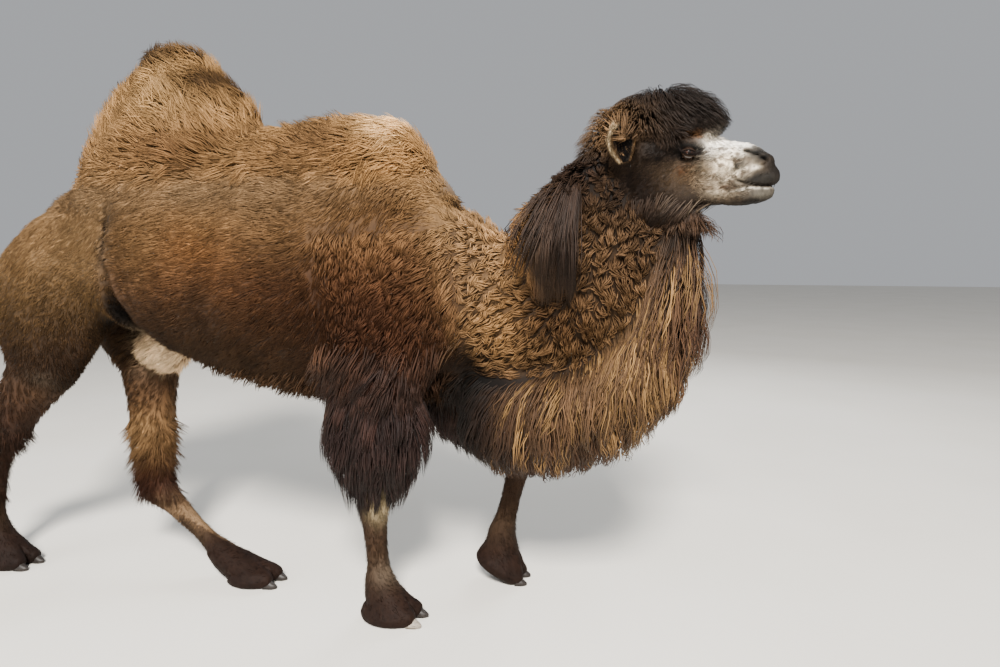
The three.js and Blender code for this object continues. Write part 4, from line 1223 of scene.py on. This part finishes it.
flankHair = dict(on=["trunk", "shoulder"], keep=lambda p: inBody(p)[:, 1] < 0, tufts=33500,
                 density=lambda p: 1 - 0.85 * shoulderShare(p), rings=1, length=(0.028, 0.06),
                 width=0.0026, thick=0.5, taper=tapers["tuft"], rise=liesFlat, stand=(0.35, 1.0),
                 stray=0.3, perLock=9, gather=0.45, lockVary=0.13, tuftVary=0.17,
                 shade=(0.5, 0.95, 1.25), hair="wool", slot="coat_russet", seed=3, patchy=0.35,
                 unwrap=unwrapRound([(-1650, 0, 1200), (350, 0, 1180)]))
farFlankHair = dict(flankHair, keep=lambda p: inBody(p)[:, 1] >= 0, tufts=21500, seed=4)


def towardsElbow(p):  # short where the flank's hair runs into the shoulder, long at the elbow
    q = inBody(p)
    back = np.interp(aheadOfShoulder(q), [-170, 0, 130], [0.048, 0.062, 0.11])
    return np.minimum(back, np.interp(q[:, 2], [1100, 1300, 1520], [0.11, 0.07, 0.05]))


shoulderHair = dict(flankHair, on=["shoulder"], keep=None, density=lambda p: shoulderShare(p) + 0.02,
                    tufts=8200, rings=2, length=(0.05, 0.1), width=0.003, trimmedTo=towardsElbow, waves=0.8,
                    wave=0.005, gather=0.6, perLock=12, seed=5)
roundHaunches = unwrapRound([(-1390, -200, 1500), (-1400, -200, 700)],
                            [(-1390, 200, 1500), (-1300, 200, 700)])


def onCroup(p):  # the flank's hair runs on over the top of the haunch, down to an uneven edge
    return inBody(p)[:, 2] >= 1360 + 60 * ripple(p, 0.15, 63)


haunchWool = dict(on=["thigh"], keep=lambda p: ~onCroup(p), tufts=18000, rings=1, length=(0.016, 0.034),
                  width=0.0028, thick=0.6, taper=tapers["tuft"], rise=liesFlat, stand=(0.5, 1.0), stray=0.5,
                  perLock=6, gather=0.3, lockVary=0.17, tuftVary=0.13, shade=(0.55, 0.95, 1.15),
                  hair="wool", patchy=0.4, slot="coat_russet", seed=6, unwrap=roundHaunches)
bellyHair = dict(flankHair, keep=None, tufts=3200, rings=2, length=(0.05, 0.09), weight=0.6, cling=0.4,
                 stand=(0.8, 2.0), gather=0.7, slot="coat_dark", seed=25,
                 density=lambda p: smoothStep(960, 880, inBody(p)[:, 2]) + 1e-4)
sheathHair = dict(flankHair, on=["sheath"], keep=None, density=None, tufts=2500, length=(0.035, 0.06),
                  stand=(0.8, 2.2), gather=0.6, slot="coat_pale", seed=23, unwrap=roundHaunches)
croupHair = dict(flankHair, on=["thigh"], density=None, keep=onCroup,
                 tufts=8000, seed=17, unwrap=roundHaunches)
neckWool = dict(on=["neck", "nape"], tufts=13000,
                density=lambda p: 1 + 0.9 * smoothStep(1360, 1480, inBody(p)[:, 2]), clearsEars=True,
                rings=2, length=(0.03, 0.05), width=0.0025, thick=0.6, taper=tapers["tuft"], rise=standsUp,
                stand=(0.4, 1.0), stray=0.5, perLock=12, gather=0.75, waves=1.0, wave=0.006, lockVary=0.2,
                tuftVary=0.14, shade=(0.3, 0.9, 1.35), hair="wool", slot="coat_brown", seed=7,
                unwrap=unwrapRound([(250, 0, 1150), (620, -30, 1150)], [(620, -30, 1150), (850, -90, 1600)]))
overThroatEdge = aboveOutline("throat")


def lockBand(p):  # golden locks hang from the upper edge of the throat's mane
    q = inBody(p)
    edge = np.interp(q[:, 0], [350, 600, 900], [770, 850, 900])
    band = 0.12 + smoothStep(0, 140, q[:, 2] - edge) * (1 - 0.85 * smoothStep(900, 990, q[:, 0]))
    return band * smoothStep(1430, 1340, q[:, 2])


throatHair = dict(on=["throat"], keep=lambda p: inBody(p)[:, 2] < 1450, tufts=4200,
                  density=lambda p: 1 + 1.8 * smoothStep(640, 500, inBody(p)[:, 0]), rings=3,
                  length=(0.14, 0.26), width=0.0021, thick=0.5, taper=tapers["strand"], rise=liesFlat,
                  stand=(0.2, 0.95), cling=0.4, weight=0.9, stray=0.1, perLock=10, gather=0.5, waves=1.5,
                  wave=0.005, crimped=True, lockVary=0.2, tuftVary=0.18, shade=(0.3, 0.75, 0.85),
                  hair="long", slot="coat_tan", seed=16, trimmedTo=overThroatEdge,
                  unwrap=unwrapRound([(300, 0, 850), (760, -50, 900)], [(760, -50, 900), (1050, -95, 1450)]))
throatLocks = dict(throatHair, keep=lambda p: inBody(p)[:, 2] < 1400, tufts=4100, rings=5,
                   length=(0.2, 0.38), width=0.0023, stand=(0.75, 1.08), perLock=5, gather=0.7, stray=0.06,
                   waves=2.4, wave=0.008, shade=(0.4, 1.0, 0.55), lockVary=0.22, tuftVary=0.12,
                   streakTone="#b58c56", streakShare=0.42, streakAmount=0.6, density=lockBand, seed=8)
napeLocks = dict(on=["nape"], keep=lambda p: inBody(p)[:, 0] < 690, tufts=4200, rings=3, length=(0.7, 1.15),
                 endsAt=1190,
                 trimmedTo=lambda p: np.interp(inBody(p)[:, 0], [500, 560, 610], [0.05, 0.15, 1.2]),
                 density=lambda p: np.interp(inBody(p)[:, 0], [520, 560, 610], [0.0005, 0.15, 1]),
                 width=0.002, thick=0.5, taper=tapers["strand"], rise=liesFlat, stand=(0.5, 1.05),
                 cling=0.25, weight=1.2, stray=0.06, perLock=12, gather=0.6, waves=1.2, wave=0.006,
                 lockVary=0.25, tuftVary=0.2, shade=(0.6, 1.0, 1.15), streakTone="#52433c", streakShare=0.2,
                 streakAmount=0.6, hair="long", slot="coat_dark", seed=9,
                 unwrap=unwrapRound([(520, -30, 1350), (740, -80, 1680)]))


def aboveBrow(p):  # the topknot's fringe is cut short over the brows and falls long in front and behind
    q = inHead(p)
    overEye = smoothStep(-75, -30, q[:, 0]) * (1 - smoothStep(60, 95, q[:, 0]))
    return np.clip((q[:, 2] - 58) / 900, 0.014, 0.2) + 0.2 * (1 - overEye)


topknotHair = dict(on=["topknot"], clearsEars=True, trimmedTo=aboveBrow, tufts=6200, rings=3,
                   length=(0.06, 0.1), width=0.0014, thick=0.5, taper=tapers["strand"], rise=liesFlat,
                   stand=(0.8, 1.45), stray=0.08, perLock=24, gather=0.25, waves=0.4, wave=0.002,
                   lockVary=0.07, tuftVary=0.16, shade=(0.6, 0.95, 1.25), hair="long", slot="coat_dark",
                   seed=10, unwrap=unwrapRound([(760, -100, 1700), (1090, -100, 1720)]))


def aboveKnee(p):  # the front of the knee is bare
    q = inBody(p)
    return (q[:, 2] > 545) | (q[:, 0] < -50)


roundForearms = unwrapRound([(0, -190, 950), (-40, -170, 420)], [(100, 200, 950), (400, 230, 560)])
muffHair = dict(on=["muff"], keep=aboveKnee, tufts=4600, rings=3, length=(0.1, 0.2), width=0.0023,
                thick=0.5, taper=tapers["strand"], rise=liesFlat, stand=(0.4, 1.05), cling=0.3, weight=0.5,
                stray=0.14, perLock=14, gather=0.6, waves=0.8, wave=0.005, lockVary=0.22, tuftVary=0.16,
                shade=(0.5, 1.0, 1.25), streakTone="#40291f", streakShare=0.3, streakAmount=0.6,
                hair="long", slot="coat_dark", seed=11, unwrap=roundForearms)
elbowHair = dict(muffHair, on=["shoulder"], keep=lambda p: inBody(p)[:, 2] < 1090, tufts=2200, rings=3,
                 length=(0.1, 0.17), stand=(0.6, 1.2), streakShare=0, slot="coat_russet", seed=18,
                 density=lambda p: smoothStep(1090, 980, inBody(p)[:, 2]))
roundLegs = unwrapRound([(0, -190, 900), (-30, -150, 150)], [(100, 200, 900), (340, 250, 150)],
                        [(-1450, -200, 900), (-1820, -150, 150)], [(-1240, 150, 850), (-800, 0, 120)])
gaskinHair = dict(on=["gaskin", "forearm"], tufts=8500, rings=1, length=(0.03, 0.055), width=0.0024,
                  thick=0.6, taper=tapers["tuft"], rise=liesFlat, stand=(0.5, 1.15), stray=0.3, perLock=9,
                  gather=0.6, lockVary=0.18, tuftVary=0.15, shade=(0.5, 0.95, 1.25), hair="short",
                  slot="coat_brown", seed=19, unwrap=roundLegs)
legHair = dict(gaskinHair, on=["cannon"], tufts=10000, length=(0.018, 0.034), width=0.0018, stand=(0.5, 1.2),
               gather=0.3, shade=(0.8, 1.0, 1.1), lockVary=0.1, tuftVary=0.12, seed=12)
footHair = dict(legHair, on=["foot"], tufts=5000, length=(0.014, 0.03), width=0.0018, stray=0.4, seed=13,
                slot="foot_skin", keep=lambda p: p[:, 2] > 0.03, stand=(0.8, 2.0))
hockHair = dict(gaskinHair, on=["gaskin", "cannon"], tufts=5500, length=(0.045, 0.085), stand=(1.2, 4.2),
                seed=21, width=0.002,
                keep=lambda p: (inBody(p)[:, 0] < -700) & (inBody(p)[:, 2] > 290) & (inBody(p)[:, 2] < 620),
                shade=(0.6, 0.95, 1.2))
tailHair = dict(on=["tail", "tail_tuft"], tufts=1500, rings=3, length=(0.06, 0.15), width=0.003, thick=0.5,
                taper=tapers["strand"], rise=liesFlat, stand=(0.5, 1.1), cling=0.6, weight=0.4, stray=0.15,
                perLock=9, gather=0.5, waves=0.8, wave=0.004, lockVary=0.16, tuftVary=0.12,
                shade=(0.6, 1.0, 1.2), hair="long", slot="coat_dark", seed=14,
                unwrap=unwrapRound([(-1650, 0, 1450), (-1750, 0, 750)]))


def cheekShare(p):
    q = inHead(p)
    return (1 - smoothStep(15, 95, q[:, 0] - 0.5 * (q[:, 2] + 60))) * smoothStep(25, -15, q[:, 2]) + 0.01


def jawShare(p):  # a fringe under the jaw
    q = inHead(p)
    under = np.exp(-((q[:, 2] + 165 + 0.12 * q[:, 0]) / 26) ** 2)
    return under * smoothStep(-200, -120, q[:, 0]) * (1 - smoothStep(60, 110, q[:, 0]))


def bareFace(p):  # less hair towards the lips, none on the grey skin of nose and lips or in the eye
    q = inHead(p)
    hairy = 1 - 0.97 * smoothStep(120, 185, q[:, 0] + 0.25 * q[:, 2])
    eye = np.linalg.norm((q - np.array([2, 0, 3])) / np.array([34, 1e4, 22]), axis=1)
    return hairy * smoothStep(0.8, 1.1, eye)


roundHead = unwrapRound([(800, -100, 1600), (1290, -100, 1580)])
cheekHair = dict(on=["head", "lower_jaw", "cheeks"], clearsEars=True, tufts=8000, rings=1,
                 length=(0.022, 0.042), width=0.0015, thick=0.5, taper=tapers["tuft"], rise=liesFlat,
                 stand=(0.6, 1.5), stray=0.25, perLock=8, gather=0.5, lockVary=0.2, tuftVary=0.2,
                 shade=(0.45, 0.95, 1.3), hair="short", slot="coat_brown", density=cheekShare, seed=20,
                 patchy=0.3, unwrap=roundHead)
jawHair = dict(on=["lower_jaw", "cheeks", "head", "throat"], tufts=1500, rings=3, length=(0.05, 0.1),
               width=0.0017, thick=0.5, taper=tapers["strand"], rise=liesFlat, stand=(1.0, 2.2), cling=0.3,
               weight=0.9, stray=0.15, perLock=12, gather=0.5, waves=0.8, wave=0.003, lockVary=0.2,
               tuftVary=0.15, shade=(0.5, 0.9, 1.1), hair="long", slot="coat_dark", density=jawShare,
               seed=22, unwrap=roundHead)
faceHair = dict(on=["head", "lower_jaw", "cheeks"], tufts=14000, rings=1, length=(0.012, 0.028), width=0.0013,
                thick=0.5, taper=tapers["tuft"], rise=liesFlat, stand=(0.5, 1.3), stray=0.25, perLock=8,
                gather=0.55, lockVary=0.22, tuftVary=0.22, shade=(0.45, 0.95, 1.3),
                hair="short", slot="coat_pale", density=bareFace, seed=15, patchy=0.2,
                unwrap=roundHead)
earHair = dict(faceHair, on=["ear"], tufts=4200, length=(0.012, 0.032), width=0.001, stand=(0.6, 2.6),
               density=None, seed=24)

growCoat("wool_hump_rear", rearHumpWool)
growCoat("wool_hump_front", frontHumpWool)
growCoat("hair_flank_right", flankHair)
growCoat("hair_flank_left", farFlankHair)
growCoat("hair_shoulders", shoulderHair)
growCoat("hair_belly", bellyHair)
growCoat("wool_haunches", haunchWool)
growCoat("hair_croup", croupHair)
growCoat("hair_sheath", sheathHair)
growCoat("wool_neck", neckWool)
growCoat("hair_throat", throatHair)
growCoat("locks_throat", throatLocks, ["throat_mane"])
growCoat("locks_nape", napeLocks, ["nape_mane"])
growCoat("hair_topknot", topknotHair, ["topknot"])
growCoat("hair_muffs", muffHair, ["muff_front_right", "muff_front_left"])
growCoat("hair_elbows", elbowHair)
growCoat("hair_gaskins", gaskinHair)
growCoat("hair_shanks", legHair)
growCoat("hair_hocks", hockHair)
growCoat("hair_feet", footHair)
growCoat("hair_tail", tailHair, ["tail_tuft"])
growCoat("hair_cheeks", cheekHair)
growCoat("hair_jaw", jawHair)
growCoat("hair_face", faceHair)
growCoat("hair_ears", earHair)

skin = addObject("skin", skinMesh, skinMaterial(skinLook))
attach(skin, "root")
hairNodes = ("throat_mane", "nape_mane", "topknot", "muff_", "tail_tuft")
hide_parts("ear_right", "ear_left", *[n for n in coveredNodes if not n.startswith(hairNodes)])

eyeMade = eyeMaterial(eyeLook)
nailMade = nailMaterial("nail horn, dark", nailLook)
wornNailMade = nailMaterial("nail horn, bleached", wornNailLook)


def ball(radius, rows=28, columns=36):  # its pole along X
    polar = np.linspace(0, math.pi, rows + 1)[1:-1]
    turn = np.linspace(0, 2 * math.pi, columns, endpoint=False)
    along, out = np.repeat(np.cos(polar)[:, None], columns, 1), np.sin(polar)[:, None]
    ring = np.stack([along, out * np.cos(turn), out * np.sin(turn)], axis=2).reshape(-1, 3)
    vertices = np.concatenate([ring, [[1, 0, 0], [-1, 0, 0]]]) * radius
    i, j = np.arange(columns), (np.arange(columns) + 1) % columns
    quads = np.concatenate([np.stack([r * columns + i, (r + 1) * columns + i, (r + 1) * columns + j,
                                      r * columns + j], axis=1) for r in range(rows - 2)])
    count, last = len(ring), (rows - 2) * columns
    caps = np.concatenate([np.stack([np.full(columns, count), i, j], axis=1),
                           np.stack([last + j, last + i, np.full(columns, count + 1)], axis=1)])
    return vertices, quads, caps


# The opening's half width and height are angles off the gaze; a ring of the lid is how far it is opened
# out from there, and how many millimetres it stands off the eyeball.
lidShape = dict(half=(46, 13), rings=((1.0, 0.4), (1.04, 2.6), (1.3, 4.2), (1.75, 3.4), (2.3, -2.5)),
                columns=48, fuller=(1.15, 0.85), corner=0.18, opensBy=(0.62, 1.6), edge="#17100d",
                edgeRings=3, skin="#4a3527", lashes=120, lash="#1c1310", lashLong=(0.016, 0.03),
                lashWide=0.0008, gaze=(0.2, 0.03))


def eyeFrame(look, word, side):  # the ball's middle and radius, and the ways it looks, forward and up
    box = boxOf("eye_" + word)
    ahead, raised = look["gaze"]
    toward = unit(np.array([ahead, side, raised]))
    forward = unit(np.array([1.0, 0, -0.12]) - toward * toward[0])
    up = np.cross(forward, toward) * side * -1
    return box.mean(axis=0), (box[1] - box[0]).max() / 2, toward, forward, up


def makeEye(look, word, side):
    middle, radius, toward, _, _ = eyeFrame(look, word, side)
    vertices, quads, caps = ball(radius)
    gaze = vertices[:, [1, 2]] / radius
    turned = Vector(toward).to_track_quat("X", "Z").to_matrix()
    mesh = meshFrom("eye", vertices @ np.array(turned).T + middle, quads, caps)
    setUV(mesh, "gaze", gaze)
    piece = addObject("eyeball_" + word, mesh, eyeMade)
    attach(piece, "root")
    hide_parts("eye_" + word)


def almond(look, opened, turn):  # angles off the gaze: the upper lid is the fuller
    across = look["half"][0] * np.cos(turn)
    full = np.where(np.sin(turn) > 0, *look["fuller"])
    up = full * look["half"][1] * np.sin(turn) * (1 - look["corner"] * np.cos(turn) ** 2)
    wider, higher = (1 + (opened - 1) * grows for grows in look["opensBy"])
    return np.radians(across * wider), np.radians(up * higher)


def makeLids(look, word, side):
    middle, radius, toward, forward, up = eyeFrame(look, word, side)

    def wayAt(across, high):
        level = np.cos(high)
        ahead = toward * (np.cos(across) * level)[:, None] + forward * (np.sin(across) * level)[:, None]
        return ahead + up * np.sin(high)[:, None]

    turn = np.linspace(0, 2 * math.pi, look["columns"], endpoint=False)
    rings, tones = [], []
    for number, (opened, proud) in enumerate(look["rings"]):
        rings.append(middle + wayAt(*almond(look, opened, turn)) * (radius + proud * mm))
        code = look["edge"] if number < look["edgeRings"] else look["skin"]
        tones.append(np.tile(deepTone(code), (len(turn), 1)))
    quads = ringQuads(len(rings), look["columns"])
    mesh = meshFrom("lids", np.concatenate(rings), quads if side > 0 else quads[:, ::-1])
    setColour(mesh, "coatTint", np.concatenate(tones))
    lids = addObject("lids_" + word, mesh, skin.data.materials[0])
    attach(lids, "root")
    rng = np.random.default_rng(60 + side)
    turn = rng.uniform(0.1 * math.pi, 0.92 * math.pi, look["lashes"])
    across, high = almond(look, 1.1, turn)
    way = wayAt(across, high)
    long = rng.uniform(*look["lashLong"], len(turn))[:, None]
    lean = way * 1.1 + forward * np.sin(across)[:, None] * 0.8 - up * 0.15
    lean = unit(lean + rng.normal(0, 0.12, way.shape))
    root = middle + way * (radius + 0.002)
    path = np.stack([root, root + lean * long * 0.5, root + unit(lean - up * 0.5) * long], axis=1)
    wide = np.full((len(turn), 2), look["lashWide"])
    tone = np.tile(deepTone(look["lash"]), (len(turn), 3, 1))
    spot = np.stack([turn / 7, 0.5 + across / 4], axis=1)
    lashes = strandPiece("lashes_" + word, path, np.stack([way] * 3, axis=1), wide, 0.6, tone, spot,
                         hairMaterials["short"])
    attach(lashes, "root")


for word, side in (("right", -1), ("left", 1)):
    makeEye(lidShape, word, side)
    makeLids(lidShape, word, side)
print("eyes: placed, with lids and lashes")

nailShape = dict(rows=14, arch=16, narrows=0.3, tipFall=5, slopes=0.74, curl=1.25, drawnBack=0.1,
                 arched=0.75, offFloor=0.0004, worn="nail_front_right_outer")


def nailShell(look, low, high):  # a blunt claw: arched across, sloping to a rounded front edge, flat below
    rings = []
    for share in np.linspace(0, 1, look["rows"]):
        wide = (high[1] - low[1]) / 2 * (1 - look["narrows"] * share)
        wide = wide * math.sqrt(max(1 - share ** look["tipFall"], 0.02))
        tall = (high[2] - low[2]) * (1 - look["slopes"] * share ** look["curl"])
        turn = np.linspace(0, math.pi, look["arch"])
        across, up = np.cos(turn), np.sin(turn) ** look["arched"]
        ahead = low[0] + (high[0] - low[0]) * (share - look["drawnBack"] * share * (1 - np.sin(turn)))
        top = np.stack([ahead, (low[1] + high[1]) / 2 + across * wide, low[2] + up * tall], axis=1)
        under = top[::-1][1:-1].copy()
        under[:, 2] = low[2] + look["offFloor"]
        rings.append(np.concatenate([top, under]))
    ring, rows = len(rings[0]), look["rows"]
    quads = ringQuads(rows, ring)
    vertices = np.concatenate(rings + [rings[0].mean(axis=0)[None], rings[-1].mean(axis=0)[None]])
    last = (rows - 1) * ring
    caps = [(rows * ring, (k + 1) % ring, k) for k in range(ring)]
    caps += [(rows * ring + 1, last + k, last + (k + 1) % ring) for k in range(ring)]
    return vertices, quads[:, ::-1], np.array(caps)[:, ::-1]


def makeNail(node):
    spot, quads, caps = nailShell(nailShape, *boxOf(node))
    horn = wornNailMade if node == nailShape["worn"] else nailMade
    piece = addObject("horn_" + node, meshFrom("nail", spot, quads, caps), horn)
    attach(piece, "root")
    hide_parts(node)


for node in sorted(n for n in cadNodes if n.startswith("nail_")):
    makeNail(node)
print("nails: placed")

# A matt floor under an open sky of studio light, and three large lamps: metres and watts.
stageLook = dict(floor="#d9d5cc", floorLight="#dedad2", cloud=1.2, half=30, sky="#eff2f7", skyPower=0.5,
                 aim=(0.0, 0.0, 1.1))
lamps = {
    "key": dict(at=(2.3, -7.0, 6.8), power=3450, size=2.0, colour="#fffaf3"),
    "fill": dict(at=(-5.0, -4.0, 2.6), power=200, size=3.0, colour="#f3f9ff"),
    "rim": dict(at=(1.5, 5.0, 4.2), power=200, size=2.5, colour="#f9fcff"),
}


def makeStage(look):
    material, tree, surface = newMaterial("studio floor, matt paint", {"Roughness": 0.9})
    place = addNode(tree, "TexCoord")
    cloud = addNode(tree, "TexNoise", {"Scale": look["cloud"], "Detail": 3},
                    {"Vector": place.outputs["Object"]})
    tone = addNode(tree, "ValToRGB", {"stops": [(0.3, look["floor"]), (0.7, look["floorLight"])]},
                   {"Fac": cloud.outputs["Fac"]})
    tree.links.new(tone.outputs["Color"], surface.inputs["Base Color"])
    half = look["half"]
    corners = [(-half, -half, 0), (half, -half, 0), (half, half, 0), (-half, half, 0)]
    floor = addObject("floor", meshFrom("floor", corners, [(0, 1, 2, 3)]), material)
    world = bpy.data.worlds.new("studio")
    world.use_nodes = True
    background = world.node_tree.nodes["Background"]
    background.inputs["Color"].default_value = (*hexToLinear(look["sky"]), 1)
    background.inputs["Strength"].default_value = look["skyPower"]
    bpy.context.scene.world = world


def addLight(name, look, aim):
    lamp = bpy.data.lights.new(name, "AREA")
    lamp.energy, lamp.size, lamp.color = look["power"], look["size"], tuple(hexToLinear(look["colour"]))
    holder = bpy.data.objects.new(name, lamp)
    holder.location = look["at"]
    holder.rotation_euler = (Vector(aim) - Vector(look["at"])).to_track_quat("-Z", "Y").to_euler()
    bpy.context.scene.collection.objects.link(holder)


makeStage(stageLook)
for name, lamp in lamps.items():
    addLight(name, lamp, stageLook["aim"])

# Millimetres from under the elbow, degrees turned left and down, and the lens and film in millimetres.
cameraLook = dict(at=(980, -2310, 1330), turn=14.386, down=6.68, focal=24.12, film=36)


def makeCamera(look):
    lens = bpy.data.cameras.new("camera")
    lens.lens, lens.sensor_width = look["focal"], look["film"]
    holder = bpy.data.objects.new("camera", lens)
    holder.location = underElbow + np.array(look["at"]) * mm
    turn, down = math.radians(look["turn"]), math.radians(look["down"])
    ahead = Vector((-math.sin(turn) * math.cos(down), math.cos(turn) * math.cos(down), -math.sin(down)))
    holder.rotation_euler = ahead.to_track_quat("-Z", "Y").to_euler()
    bpy.context.scene.collection.objects.link(holder)
    bpy.context.scene.camera = holder


makeCamera(cameraLook)
print("floor, lamps and camera: set")
